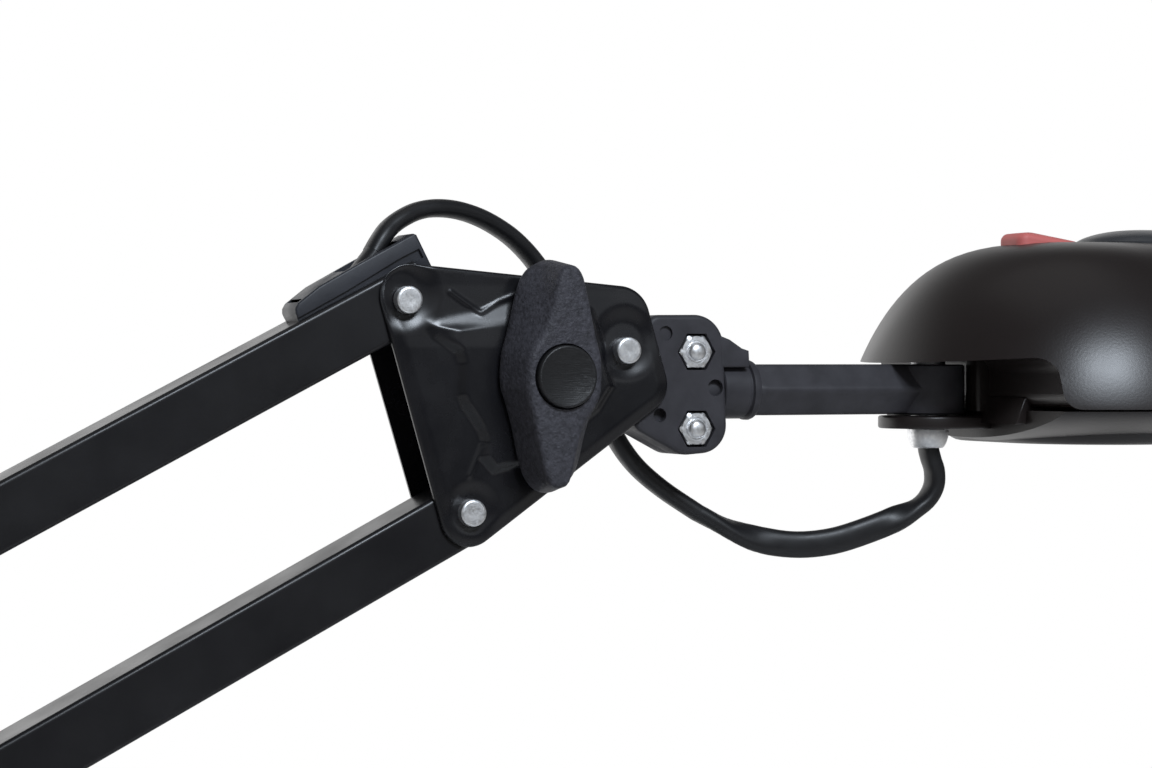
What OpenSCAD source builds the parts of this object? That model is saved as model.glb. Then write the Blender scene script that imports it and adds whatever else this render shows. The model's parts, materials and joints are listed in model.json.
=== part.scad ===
// Sprung-arm LED table lamp: weighted base, two parallelogram arms of square tube,
// a stamped head bracket with a clamp knob, a clamped knuckle, a hexagonal stem and a domed head.
// Millimetres, +Z up. The origin is the centre of the base's underside and the head points along +X.

/* [Base] */
// Diameter of the base cover
base_d = 200; // [180:2:230]
// Height of the base cover above the table
base_h = 22; // [20:1:28]
// Radius of the base cover's top edge
base_edge_r = 8; // [5:1:10]
// Sheet thickness of the base cover
base_wall = 1.5; // [1:0.1:2]
// Thickness of the rubber pad
pad_t = 2.5; // [2:0.5:4]
// Gap between the steel weight and the cover's side wall
weight_gap = 6; // [5:1:12]
// Diameter of the swivel post
post_d = 28; // [26:1:34]
// Height of the swivel post's top above the table
post_top = 44; // [40:1:60]
// Diameter of the swivel post's flange
post_flange_d = 50; // [46:1:60]
// Thickness of the swivel post's flange
post_flange_t = 3.5; // [3:0.5:5]

/* [Swivel and foot] */
// Diameter of the hollow swivel pin
pin_d = 16; // [15:0.5:18]
// Diameter of the swivel pin's upper end, inside the block
pin_neck_d = 13; // [12:0.5:14]
// Bore of the swivel pin
pin_bore = 10; // [9:0.5:11]
// Length of the swivel block along the arm plane
block_w = 36; // [32:1:40]
// Height of the swivel block above its flange
block_h = 39; // [36:1:44]
// Height of the lower arm's pivots above the swivel block
foot_rise = 22; // [19:1:30]
// Distance between the lower arm's two pivots
lower_spread = 46; // [40:1:54]

/* [Arms] */
// Outside size of the square arm tubes
bar_w = 15; // [14:0.5:16]
// Wall of the arm tubes
bar_wall = 1.2; // [1:0.1:1.5]
// Corner radius of the arm tubes
bar_corner_r = 1.2; // [0.8:0.1:1.8]
// Length of the arm tubes past each pivot
bar_tail = 6; // [5:0.5:7]
// Pivot to pivot length of the lower arm
lower_len = 370; // [300:5:420]
// Pivot to pivot length of the upper arm
upper_len = 370; // [300:5:420]
// Angle of the lower arm above the horizontal
lower_angle = 108; // [90:1:115]
// Angle of the upper arm above the horizontal
upper_angle = 27.4; // [15:0.1:40]
// Outside diameter of the springs inside the lower tubes of the arms
spring_d = 11.6; // [10:0.2:11.8]
// Wire diameter of the springs
spring_wire = 1.6; // [1.2:0.1:2]
// Length of the springs
spring_len = 190; // [150:5:220]

/* [Plates and pivots] */
// Thickness of the pressed side plates
plate_t = 1.2; // [1:0.1:1.5]
// Gap between an arm tube and each side plate
plate_gap = 0.3; // [0.2:0.05:0.4]
// Diameter of the pivot rivets
rivet_d = 5.9; // [5:0.1:6.4]
// Running clearance on the radius of each pivot
pivot_gap = 0.06; // [0.03:0.01:0.09]
// How far a rivet's end stands out of the front plate
rivet_stand = 2.3; // [1.5:0.1:2.6]
// Diameter of a rivet's formed rear head
rivet_head_d = 10; // [8:0.5:11]
// Radius of the elbow and foot plates round each pivot
plate_r = 13; // [12:0.5:15]
// Height of the elbow's upper pivot above its lower pivots
elbow_rise = 90; // [86:1:100]
// Diameter of the clamp bolts
bolt_d = 6; // [5:0.5:6.5]

/* [Head bracket] */
// Upper tube's pivot measured from the knob axis, along X
pivot_a_x = -34; // [-37:0.5:-32]
// Upper tube's pivot measured from the knob axis, along Z
pivot_a_z = 18.3; // [17:0.1:20]
// Lower tube's pivot measured from the knob axis, along X
pivot_b_x = -17.8; // [-20:0.1:-16]
// Lower tube's pivot measured from the knob axis, along Z
pivot_b_z = -32.9; // [-36:0.1:-32]
// Stop rivet measured from the knob axis, along X
stop_x = 23; // [22.5:0.1:23.5]
// Stop rivet measured from the knob axis, along Z
stop_z = 6.3; // [5.5:0.1:7]
// Diameter of the stop rivet's spacer
stop_d = 6.4; // [6.2:0.1:7]

/* [Clamp knobs] */
// Length of a wing knob from tip to tip at its face
knob_len = 52.5; // [46:0.5:54]
// Width of a wing knob's middle at its face
knob_w = 19.6; // [18:0.2:23]
// How much wider a wing knob is on each side at its base
knob_draft = 1.6; // [1:0.1:2]
// Thickness of a wing knob
knob_t = 13; // [11:0.5:16]
// Gap between the side plate and the underside of the wings
knob_lift = 3.2; // [2.9:0.1:4]
// Diameter of a knob's round cap
cap_d = 15; // [13:0.5:16]
// How far the cap stands out of the knob
cap_stand = 1.6; // [1:0.1:2.5]
// Angle of the head knob's wings from upright
knob_turn = 4.8; // [0:0.1:20]

/* [Knuckle and stem] */
// Diameter of the clamped disc
disc_d = 38; // [36:0.5:39]
// Thickness of the knuckle's two halves together
knuckle_t = 15; // [14:0.5:15.2]
// Inner radius of the knuckle's block, measured from the knob axis
block_in_r = 28.4; // [28:0.1:29]
// Distance of the knuckle's bolts from the knob axis
clamp_x = 42.6; // [42:0.1:44]
// Distance of each knuckle bolt from the stem's axis
clamp_off = 9.65; // [9.4:0.05:10]
// Diameter of the knuckle's bolts
clamp_d = 5; // [4:0.5:5.2]
// Width across flats of the knuckle's nuts
nut_af = 8; // [7:0.5:8.4]
// Drop of the stem's axis below the knob axis
stem_drop = 3.65; // [3:0.05:4.5]
// Width across flats of the hexagonal stem
stem_af = 13; // [12:0.5:13.2]
// Diameter of the stem's journal inside the knuckle
journal_d = 12; // [10:0.5:12.6]
// Diameter of the stem's collar
collar_d = 15.1; // [14:0.1:15.5]
// Length of the stem's collar
collar_len = 10.4; // [9:0.2:12]
// Distance of the head's pivot from the knob axis
head_reach = 113.3; // [112:0.1:120]
// Diameter of the stem's upright boss
boss_d = 19; // [17:0.5:21]

/* [Head] */
// Length of the head
head_len = 237; // [220:1:300]
// Width of the head
head_w = 116; // [106:1:126]
// Length of the head's rounded rear part
rear_len = 63; // [60:1:75]
// Length of the head's rounded front part
front_len = 66; // [50:1:75]
// Distance of the head's pivot from its rear edge
pivot_in = 17; // [16:0.1:20]
// Height of the dome above the seam
dome_h = 43.8; // [40:0.2:50]
// Depth of the tray below the seam
tray_h = 10.4; // [10:0.1:14]
// Height of the seam below the knob axis
seam_drop = 8.4; // [7.4:0.1:8.6]
// How flat the dome is across its top
dome_power = 3.6; // [2.2:0.1:4]
// How full the dome's shoulders are: 2 rises from the seam as an ellipse does
dome_bulge = 1.25; // [1.1:0.05:2]
// How flat the tray is across its underside
tray_power = 2; // [1.8:0.1:3]
// How full the tray's edge is
tray_bulge = 1.3; // [1.1:0.05:2]
// Wall of the head's two shells
shell_t = 2.2; // [1.8:0.1:2.6]
// Thickness of the tongue under the stem's boss
tongue_t = 3.3; // [2.5:0.1:3.6]
// Radius of the tongue's rounded end
tongue_r = 13.1; // [13:0.1:16]
// Gap left round the stem in the head's recess
recess_gap = 0.5; // [0.4:0.05:0.7]
// How far the recess's roof rises from the rear edge to its front end
recess_rise = 1.8; // [0.6:0.1:2.4]
// Gap between the stem's boss and the recess's front end
recess_room = 3; // [2:0.1:4]
// Half width of the light opening
light_half_w = 36; // [32:1:42]
// Length of the light opening
light_len = 170; // [140:1:180]

/* [Switch and dial] */
// Distance of the rocker switch from the head's rear edge
switch_in = 51.6; // [50:0.2:53]
// Length of the rocker
rocker_len = 20; // [19:0.2:22]
// Width of the rocker
rocker_w = 12; // [10:0.5:14]
// Height of the rocker's raised end above the dome
rocker_rise = 2.6; // [2.2:0.1:4]
// Distance of the dimmer dial from the head's rear edge
dial_in = 82.8; // [82.2:0.2:90]
// Diameter of the dimmer dial
dial_d = 36.4; // [32:0.2:38]
// Height of the dimmer dial
dial_h = 4.6; // [3:0.1:6]

/* [Cord] */
// Width of the flat cord
cord_w = 7; // [6:0.1:7.4]
// Thickness of the flat cord
cord_t = 4.5; // [4:0.1:4.8]
// Length of the cord gland at the base
gland_len = 30; // [20:1:40]
// Inside radius of the mains coil
coil_in_r = 28.5; // [27:0.5:34]
// Distance from one turn of the mains coil to the next
coil_pitch = 7.6; // [7.5:0.1:8.5]
// Distance from one layer of the mains coil to the next
coil_layer = 5.4; // [5.3:0.1:6]

/* [Hidden] */
$fn = 64;

// Colours of the parts
black_paint = "#18181a";
black_plastic = "#1f2023";
dark_plastic = "#26272a";
zinc = "#b9bcc0";
steel = "#8d9095";
cord_black = "#141416";
rubber_black = "#101011";

// Planes across the lamp, all symmetrical about Y = 0
plate_in_y = bar_w / 2 + plate_gap;
plate_out_y = plate_in_y + plate_t;
wing_y = plate_out_y + knob_lift;
face_y = wing_y + knob_t;
cap_y = face_y + cap_stand;

// Heights and pivots of the foot
swivel_gap = 0.3;
block_flange_t = 5;
block_z = post_top + swivel_gap + block_flange_t;
block_top = block_z + block_h;
foot_bolt_z = block_top - 8;
foot_z = block_top + foot_rise;
foot_a = [-lower_spread / 2, foot_z];
foot_b = [lower_spread / 2, foot_z];

// Directions of the arms, as [x, z]
function along(angle) = [cos(angle), sin(angle)];
function across(angle) = [-sin(angle), cos(angle)];

// Pivots of the elbow, as [x, z]
elbow_a = foot_a + lower_len * along(lower_angle);
elbow_b = foot_b + lower_len * along(lower_angle);
pivot_a = [pivot_a_x, pivot_a_z];
pivot_b = [pivot_b_x, pivot_b_z];
elbow_up_a = elbow_a + [11, elbow_rise];
elbow_up_b = elbow_up_a + pivot_b - pivot_a;
elbow_bolt_at = elbow_a + [5, elbow_rise / 2 - 1];

// The knob axis K of the head bracket, and what is measured from it, as [x, z]
head_a = elbow_up_a + upper_len * along(upper_angle);
knob_at = head_a - pivot_a;
head_b = knob_at + pivot_b;
stop_at = knob_at + [stop_x, stop_z];
stem_z = knob_at.y - stem_drop;
head_pivot_x = knob_at.x + head_reach;

// Knuckle and stem, along X from the knob axis
knuckle_end = 50.6;
journal_in = 36.8;
journal_head_in = 33.7;
journal_head_r = 7.3;
collar_in = knuckle_end + 0.3;
collar_end = collar_in + collar_len;
shoulder_end = collar_end + 2.2;
stop_tooth_r = collar_d / 2 + 0.45;
hex_r = stem_af / 2 / cos(30);

// Head, in world places
seam_z = knob_at.y - seam_drop;
head_rear_x = head_pivot_x - pivot_in;
rear_c = head_rear_x + rear_len;
front_c = head_rear_x + head_len - front_len;
recess_top = stem_z + stem_af / 2 + recess_gap;
tongue_top = stem_z - stem_af / 2 - recess_gap;
tongue_low = tongue_top - tongue_t;
recess_x = head_pivot_x + boss_d / 2 + recess_room;
roof_top = recess_top + recess_rise + shell_t;
nipple_r = 4.5;
nipple_bore_r = 3.6;
dome_top = seam_z + dome_h;
light_c = (rear_c + front_c) / 2 + 4;
light_depth = 4.6;
screw_seat = 2.8;
screw_head_t = 2;
diffuser_z = seam_z - light_depth;
board_z = diffuser_z + 3.2;
driver_z = seam_z + 3;
switch_x = head_rear_x + switch_in;
rocker_z = dome_top - 2.6;
dial_x = head_rear_x + dial_in;
dial_z = dome_top - 0.7;
shell_screw_x = 55;
shell_post_r = 4.4;
shell_screws = [
    for (x = [-shell_screw_x, shell_screw_x], y = [-1, 1])
        [light_c + x, y * (light_half_w + shell_post_r + 2.6)]
];
opening_r = 26;

// Boards in the head, and the parts on them
board_t = 1.6;
led_pitch = 15;
led_row_pitch = 22;
led_size = 3.5;
led_t = 0.7;
driver_len = 90;
driver_w = 50;
choke_len = 22;
choke_w = 20;
choke_h = 14;
can_r = 5;
can_h = 12;
spacer_x = 32;
spacer_y = 20;
spacer_r = 2;
dimmer_case_r = 7.5;

// Hoods over the cord slots, measured from a pivot along the tube and from the tube's axis
hood_back = 25.7;
hood_front = 10;
hood_w = 12;
hood_high = 12.9;
hood_wall = 1.3;
slot_from = 5.5;
slot_to = 23;
mouth_from = -5.8;
mouth_to = 10;

// The mains cord's coil behind the base, seen from above
coil_turns = 6.5;
coil_sides = 6;
coil_steps = 24;
coil_centre = [-185, -53.2];
table_gap = 0.1;
cord_low_z = cord_t / 2 + table_gap;
gland_z = 8;
gland_tip = -base_d / 2 - gland_len;
plug_at = [-135, -106.4];
plug_len = 36;
plug_h = 13.7;
plug_pin_d = 4;
plug_pin_len = 19;
plug_pin_space = 18.6;

// Routes of the cord's free stretches. The head's are measured from the knob axis,
// the elbow's from its upper tube's lower pivot and the foot's from the base.
head_top_route = [
    [-39.8, 1, 29.8], [-37.6, 1.5, 33.2], [-34.9, 2.8, 36.1], [-31.3, 4, 38.5], [-26.9, 5.6, 40.4],
    [-22, 7, 41.3], [-16, 9, 41.2], [-10, 11, 40], [-4.5, 12.8, 38], [1, 14.2, 35], [6, 15.4, 31], [10.5, 16, 26]
];
head_mid_route = [
    [10.5, 16, 26], [14.5, 16, 20], [18, 16, 13.5], [21, 16, 7], [24, 16, 0], [26.5, 16, -7],
    [29, 16, -13], [32, 15.5, -18.5], [36.5, 15, -24], [43, 13.5, -29.6], [51.8, 12, -35.5]
];
head_end_route = [
    [51.8, 12, -35.5], [60.6, 10, -40.1], [69.3, 8.5, -43], [78.5, 7, -44.2], [88, 5.5, -43.4],
    [97.5, 4, -40.7], [106, 2.5, -37.4], [112.4, 1.5, -34], [115.3, 0.8, -29.8], [115.4, 0.3, -25.4],
    [114, 0, -21.6], [113.3, 0, -18], [113.3, 0, -8], [113.3, 0, 10]
];
elbow_low_route = [
    [-21.7, 0, -98.7], [-28, 0, -93], [-35, 0, -85], [-40.5, 0, -75], [-44, 0, -63], [-45, 0, -50]
];
elbow_high_route = [
    [-45, 0, -50], [-44, 0, -35], [-40.5, 0, -20], [-34.5, 0, -6], [-26, 0, 6], [-15.5, 0, 12.8],
    [-1.5, 0, 13.8]
];
foot_route = [
    [0, 0, 72.3], [-1.2, 0, 75], [-5, 0, 77.2], [-12, 0, 78], [-20, 0, 78.4], [-28, 0, 80.5], [-35, 0, 85],
    [-39.5, 0, 92], [-41, 0, 99.5], [-39.7, 0, 106], [-36.8, 0, 111.1]
];
mains_run_route = [
    [-130, 0, 8], [-136, 0, 8], [-143, 0, 7.2], [-151, 0, 5.4], [-160, 0, 3.3], [-168, 0, 2.5],
    [-177, 0, 2.5], [-185, 0, 2.5]
];
// The ends of the cord inside an arm tube, measured from a pivot along the tube and from its axis
tube_end = [[5, 0, hood_high], [8.5, 0, 9.4], [14, 0, 6.2], [22, 0, 3.7]];
head_tube_end = [[-0.1, 0, hood_high], [4.5, 0, 10.8], [9, 0, 8.7], [14, 0, 6.4], [22, 0, 3.7]];
cord_seam = 0.3;

// The same routes in world places
function in_world(route, at) = [for (p = route) p + [at.x, 0, at.y]];
function arm_point(at, angle, p) = let (q = at + p.x * along(angle) + p.z * across(angle)) [q.x, p.y, q.y];
function tube_route(at, angle, length, far = tube_end) = concat(
    [for (p = tube_end) arm_point(at, angle, p)],
    [for (i = [len(far) - 1:-1:0]) arm_point(at, angle, [length - far[i].x, 0, far[i].z])]
);
base_path = [
    [gland_tip, 0, gland_z], [-60, 0, gland_z], [-22, 0, gland_z], [-10, 0, gland_z + 0.6],
    [-4, 0, gland_z + 3], [-1, 0, gland_z + 7], [0, 0, gland_z + 13], [0, 0, foot_bolt_z - 8]
];
foot_path = in_world(foot_route, [0, foot_z - 110.3]);
lower_path = tube_route(foot_a, lower_angle, lower_len);
elbow_low_path = in_world(elbow_low_route, elbow_up_a);
elbow_high_path = in_world(elbow_high_route, elbow_up_a);
upper_path = tube_route(elbow_up_a, upper_angle, upper_len, head_tube_end);
head_top_path = in_world(head_top_route, knob_at);
head_mid_path = in_world(head_mid_route, knob_at);
head_end_path = in_world(head_end_route, knob_at);

// Two-dimensional outlines
function unit(v) = v / norm(v);
function tangent_dir(a, b) = atan2(b.y - a.y, b.x - a.x) - acos((a[2] - b[2]) / norm([b.x - a.x, b.y - a.y]));
function tangent_pair(a, b) = let (g = tangent_dir(a, b)) [
    [a.x + a[2] * cos(g), a.y + a[2] * sin(g)], [b.x + b[2] * cos(g), b.y + b[2] * sin(g)]
];

// The outline round a list of circles [x, y, r], given anticlockwise
module round_outline(circles) {
    count = len(circles);
    polygon([for (i = [0:count - 1], p = tangent_pair(circles[i], circles[(i + 1) % count])) p]);
    for (c = circles) translate([c.x, c.y]) circle(r = c[2]);
}

// The same outline as a list of points, with the given number of steps round each circle
function turn_to(a, b) = b < a ? turn_to(a, b + 360) : b;
function round_points(circles, steps) = let (count = len(circles)) [
    for (i = [0:count - 1])
        let (
            c = circles[i],
            from = tangent_dir(circles[(i + count - 1) % count], c),
            to = turn_to(from, tangent_dir(c, circles[(i + 1) % count]))
        )
        for (k = [0:steps]) let (a = from + (to - from) * k / steps) [c.x + c[2] * cos(a), c.y + c[2] * sin(a)]
];

module rounded_square(size, r) {
    square([size - 2 * r, size], center = true);
    square([size, size - 2 * r], center = true);
    for (x = [-1, 1], y = [-1, 1]) translate([x, y] * (size / 2 - r)) circle(r = r);
}

// Placing helpers: an XZ outline as a slab across Y, a pin along Y, and a part in an arm's own frame
module slab(y_low, y_high) {
    translate([0, y_high, 0]) rotate([90, 0, 0]) linear_extrude(y_high - y_low) children();
}

module pin_y(at, y_low, y_high, r) {
    translate([at.x, y_high, at.y]) rotate([90, 0, 0]) cylinder(h = y_high - y_low, r = r);
}

module at_xz(at) {
    translate([at.x, 0, at.y]) children();
}

module on_arm(at, angle) {
    at_xz(at) rotate([0, -angle, 0]) children();
}

module along_x(from, to) {
    translate([from, 0, 0]) rotate([90, 0, 90]) linear_extrude(to - from) children();
}

// A flat cord swept along a route. On the table its width lies level, elsewhere it lies across the arms.
function cord_step(route, i) =
    unit(route[min(i + 1, len(route) - 1)] - route[max(i - 1, 0)]);
function cord_side(step, level) =
    level ? unit(cross([0, 0, 1], step)) : unit([0, 1, 0] - step * step.y);
function cord_ring(route, i, sides, level, shift = 0) =
    let (step = cord_step(route, i), side = cord_side(step, level), thick = cross(step, side))
    [for (k = [0:sides - 1])
        let (a = 360 * (k + 0.5) / sides)
        route[i] + step * shift + side * cord_w / 2 * cos(a) + thick * cord_t / 2 * sin(a)];

// Closed skin over rings of equal count, with flat ends
module skin(rings) {
    sides = len(rings[0]);
    last = len(rings) - 1;
    polyhedron(
        points = [for (ring = rings, p = ring) p],
        faces = [
            for (i = [0:last - 1], k = [0:sides - 1], t = [0, 1])
                let (a = i * sides + k, b = i * sides + (k + 1) % sides)
                t == 0 ? [a, b + sides, b] : [a, a + sides, b + sides],
            for (k = [1:sides - 2]) [0, k, k + 1],
            for (k = [1:sides - 2]) [last * sides, last * sides + k + 1, last * sides + k]
        ]
    );
}

// One stretch of the cord. Where it goes on in another, before and after are that one's nearest points:
// both ends then face each other squarely across the seam.
module cord(route, sides = 10, level = false, before = undef, after = undef) {
    full = concat(before == undef ? [] : [before], route, after == undef ? [] : [after]);
    first = before == undef ? 0 : 1;
    last = first + len(route) - 1;
    color(cord_black) skin([
        for (i = [first:last]) cord_ring(full, i, sides, level,
            i == first && before != undef ? cord_seam / 2 : i == last && after != undef ? -cord_seam / 2 : 0)
    ]);
}
function next_to_last(route) = route[len(route) - 2];

// Base
module base_outline(inset) {
    r = base_d / 2 - inset;
    edge = base_edge_r - inset;
    top = base_h - inset;
    square([r, top - edge]);
    square([r - edge, top]);
    translate([r - edge, top - edge]) circle(r = edge);
}

module base_cover() {
    color(black_paint) difference() {
        rotate_extrude() difference() {
            base_outline(0);
            base_outline(base_wall);
            square([base_d, pad_t]);
            square([post_d / 2 + 0.2, base_h + 1]);
        }
        translate([-base_d / 2 - 5, 0, gland_z]) rotate([0, 90, 0]) cylinder(h = 20, r = 5.1);
        for (a = base_screw_angles) rotate(a) translate([base_screw_r, 0, 0]) cylinder(h = base_h + 5, r = 2.6);
    }
}

base_screw_angles = [60, 225, 315];
base_screw_r = (post_d / 2 + post_flange_d / 2) / 2;
weight_top = base_h - base_wall - 0.2;

module base_weight() {
    color(steel) difference() {
        translate([0, 0, pad_t]) cylinder(h = weight_top - pad_t, r = base_d / 2 - base_wall - weight_gap);
        cylinder(h = base_h, r = post_d / 2 + 0.1);
        translate([-base_d / 2, -5, 0]) cube([base_d / 2, 10, gland_z + 5]);
        for (a = base_screw_angles) rotate(a) translate([base_screw_r, 0, 0]) {
            cylinder(h = base_h, r = 2.6);
            cylinder(h = pad_t + 4, r = 4.8);
        }
    }
}

module base_pad() {
    color(rubber_black) difference() {
        cylinder(h = pad_t, r = base_d / 2 - base_wall - 1);
        for (a = base_screw_angles) rotate(a) translate([base_screw_r, 0, -1]) cylinder(h = pad_t + 2, r = 4.8);
    }
}

pin_low = gland_z + 8;

module base_post() {
    color(black_paint) difference() {
        union() {
            translate([0, 0, pin_low]) cylinder(h = post_top - pin_low, d = post_d);
            translate([0, 0, base_h]) cylinder(h = post_flange_t, d = post_flange_d);
        }
        translate([0, 0, pin_low - 1]) cylinder(h = post_top, r = pin_d / 2 + pivot_gap);
        for (a = base_screw_angles) rotate(a) translate([base_screw_r, 0, base_h - 1])
            cylinder(h = post_flange_t, r = 2.1);
    }
}

module base_screws() {
    color(zinc) for (a = base_screw_angles) rotate(a) translate([base_screw_r, 0, 0]) {
        translate([0, 0, pad_t + 0.5]) cylinder(h = 3.5, r = 4.4);
        translate([0, 0, pad_t + 1]) cylinder(h = base_h + post_flange_t - pad_t - 2.2, r = 2.05);
    }
}

module base_lead() {
    cord(base_path, before = mains_run_route[1], after = foot_path[1]);
}

module cord_gland() {
    color(black_plastic) translate([gland_tip, 0, gland_z]) rotate([0, 90, 0]) rotate_extrude()
        difference() {
            union() {
                polygon([[0, 0], [4.6, 0], [5, gland_len - 2], [0, gland_len - 2]]);
                for (k = [0:4]) translate([0, 4 + k * 4.5]) square([5.3, 2.4]);
                translate([0, gland_len - 3]) square([7.2, 2.8]);
                square([5, gland_len + 4]);
            }
            square([cord_w / 2 + 0.05, gland_len + 10]);
        }
}

module mains_cord_run() {
    cord(mains_run_route, 10, true, base_path[1], coil_route[1]);
}

// The coil spirals in on the table and out again on top, and climbs in the half turn where it reverses
function coil_r(u) = coil_in_r + coil_pitch * abs(coil_turns / 2 - u);
function coil_z(u) = cord_low_z + coil_layer * min(1, max(0, (u - coil_turns / 2 + 0.25) * 2));
function coil_point(u) = [
    coil_centre.x + coil_r(u) * cos(90 + 360 * u), coil_centre.y + coil_r(u) * sin(90 + 360 * u), coil_z(u)
];
coil_end = coil_point(coil_turns);
coil_route = concat(
    [for (i = [0:coil_turns * coil_steps]) coil_point(i / coil_steps)],
    [coil_end + [9, 0, 0], coil_end + [20, -0.3, -0.6], coil_end + [32, -0.6, -1],
        [plug_at.x, plug_at.y, plug_h / 2]]
);

module mains_cord_coil() {
    cord(coil_route, coil_sides, true, next_to_last(mains_run_route),
        [plug_at.x + plug_len, plug_at.y, plug_h / 2]);
}

// The least gap between one turn and any other, on the points of the cord's skin, and the cord's length
coil_rings = [for (i = [0:coil_turns * coil_steps]) cord_ring(coil_route, i, coil_sides, true)];
coil_gap = min([
    for (i = [0:len(coil_rings) - 1], j = [i + coil_steps:coil_steps:len(coil_rings) - 1])
        for (p = coil_rings[i], q = coil_rings[j]) norm(p - q)
]);
function route_len(route, i = 1) =
    i < len(route) ? norm(route[i] - route[i - 1]) + route_len(route, i + 1) : 0;
echo(coil_least_gap_mm = coil_gap, mains_cord_mm = route_len(coil_route) + route_len(mains_run_route));

module mains_plug() {
    color(black_plastic) translate([plug_at.x, plug_at.y, 0]) {
        linear_extrude(plug_h) polygon([[0, -6], [9, -7.6], [29, -17.6], [plug_len, -17.6],
            [plug_len, 17.6], [29, 17.6], [9, 7.6], [0, 6]]);
    }
    color(zinc) for (y = [-1, 1])
        translate([plug_at.x + plug_len - 1, plug_at.y + y * plug_pin_space / 2, plug_h / 2])
            rotate([0, 90, 0]) cylinder(h = plug_pin_len + 1, d = plug_pin_d);
}

// Swivel and foot
module swivel_pin() {
    color(steel) difference() {
        union() {
            translate([0, 0, pin_low - 1.8]) cylinder(h = post_top + swivel_gap - pin_low + 1.8, d = pin_d);
            translate([0, 0, pin_low]) cylinder(h = foot_bolt_z - 5.7 - pin_low, d = pin_neck_d);
            translate([0, 0, pin_low - 1.8]) cylinder(h = 1.6, d = pin_d + 5);
        }
        translate([0, 0, pin_low - 3]) cylinder(h = 100, d = pin_bore);
    }
}

module swivel_block() {
    color(black_paint) difference() {
        union() {
            translate([0, 0, block_z - block_flange_t]) cylinder(h = block_flange_t, d = post_d + 4);
            translate([-block_w / 2, -plate_in_y, block_z - 1]) cube([block_w, 2 * plate_in_y, block_h + 1]);
        }
        translate([0, 0, post_top]) cylinder(h = foot_bolt_z - 5.7 - post_top, r = pin_neck_d / 2 + 0.05);
        translate([-block_w, -5, foot_bolt_z - 7]) cube([block_w, 10, 8]);
        translate([-1, -5, foot_bolt_z - 7]) cube([3.8, 10, 5.4]);
        pin_y(foot_bolt_at, -bar_w, bar_w, bolt_d / 2 + 0.1);
        for (p = block_rivets) pin_y(p, -bar_w, bar_w, rivet_d / 2);
    }
}

foot_bolt_at = [8, foot_bolt_z];
block_rivets = [[-13, block_z + 8], [13, block_z + 8]];
foot_circles = [
    [-block_w / 2 + 6, block_z + 8, 6], [block_w / 2 - 6, block_z + 8, 6],
    [foot_b.x, foot_b.y, plate_r], [foot_a.x, foot_a.y, plate_r]
];

// A pressed side plate with its pivot and bolt holes, on one side of the arms
module side_plate(circles, holes, side) {
    y_low = side < 0 ? -plate_out_y : plate_in_y;
    color(black_paint) difference() {
        slab(y_low, y_low + plate_t) round_outline(circles);
        for (h = holes) pin_y(h, -50, 50, h[2]);
    }
}

foot_holes = [
    for (p = concat([foot_a, foot_b], block_rivets)) [p.x, p.y, rivet_d / 2],
    [foot_bolt_at.x, foot_bolt_at.y, bolt_d / 2]
];

module foot_plate_front() {
    side_plate(foot_circles, foot_holes, -1);
}

module foot_plate_rear() {
    side_plate(foot_circles, foot_holes, 1);
}

// A pivot rivet: a long shank whose front end stands out of the plate, and a formed rear head
module rivet(at) {
    color(zinc) at_xz(at) rotate([90, 0, 0]) rotate_extrude() polygon([
        [0, -plate_out_y - 2], [rivet_head_d / 2 - 1.2, -plate_out_y - 2],
        [rivet_head_d / 2, -plate_out_y - 1], [rivet_head_d / 2, -plate_out_y],
        [rivet_d / 2, -plate_out_y], [rivet_d / 2, plate_out_y + rivet_stand - 0.7],
        [rivet_d / 2 - 0.6, plate_out_y + rivet_stand], [0, plate_out_y + rivet_stand]
    ]);
}

// A clamp bolt: a hexagonal head behind the rear plate and a shank that ends inside the knob
module clamp_bolt(at) {
    color(zinc) at_xz(at) rotate([90, 0, 0]) {
        translate([0, 0, -plate_out_y - 4]) cylinder(h = 4, r = 5.8, $fn = 6);
        translate([0, 0, -plate_out_y - 1]) cylinder(h = plate_out_y + 1 + face_y - 4, d = bolt_d);
    }
}

// A spacer tube round a clamp bolt, between the two plates
module bolt_spacer(at) {
    color(zinc) difference() {
        pin_y(at, -plate_in_y, plate_in_y, bolt_d / 2 + 2);
        pin_y(at, -plate_in_y - 1, plate_in_y + 1, bolt_d / 2 + 0.05);
    }
}

module foot_rivets() {
    for (p = concat([foot_a, foot_b], block_rivets)) rivet(p);
}

module foot_bolt() {
    clamp_bolt(foot_bolt_at);
}

// A wing knob: two tapered wings on a hub, wider at the base than at the face
function knob_ring(y, grow) = let (half = knob_len / 2 - 2.6) [
    for (p = round_points([
        [0, -half, 2.6 + grow], [knob_w / 2 - 4.2, -1.5, 4.2 + grow], [0, half, 2.6 + grow],
        [-knob_w / 2 + 4.2, 1.5, 4.2 + grow]
    ], 7)) [p.x, p.y, y]
];

module wing_knob(at, turn, with_cap) {
    color(dark_plastic) at_xz(at) rotate([90, 0, 0]) rotate([0, 0, -turn]) difference() {
        union() {
            skin([
                knob_ring(wing_y, knob_draft - 0.8), knob_ring(wing_y + 0.8, knob_draft),
                knob_ring(face_y - 1, 0), knob_ring(face_y, -1)
            ]);
            translate([0, 0, plate_out_y + 0.3]) cylinder(h = knob_t / 2, r = 8);
        }
        cylinder(h = face_y - 3.8, r = bolt_d / 2 + pivot_gap);
        translate([0, 0, face_y - 1.5]) cylinder(h = 3, r = cap_d / 2 + 0.3);
    }
    if (with_cap) knob_cap(at);
}

module knob_cap(at) {
    color(black_plastic) at_xz(at) rotate([90, 0, 0])
        translate([0, 0, face_y - 1.5]) cylinder(h = cap_stand + 1.5, d = cap_d);
}

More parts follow.
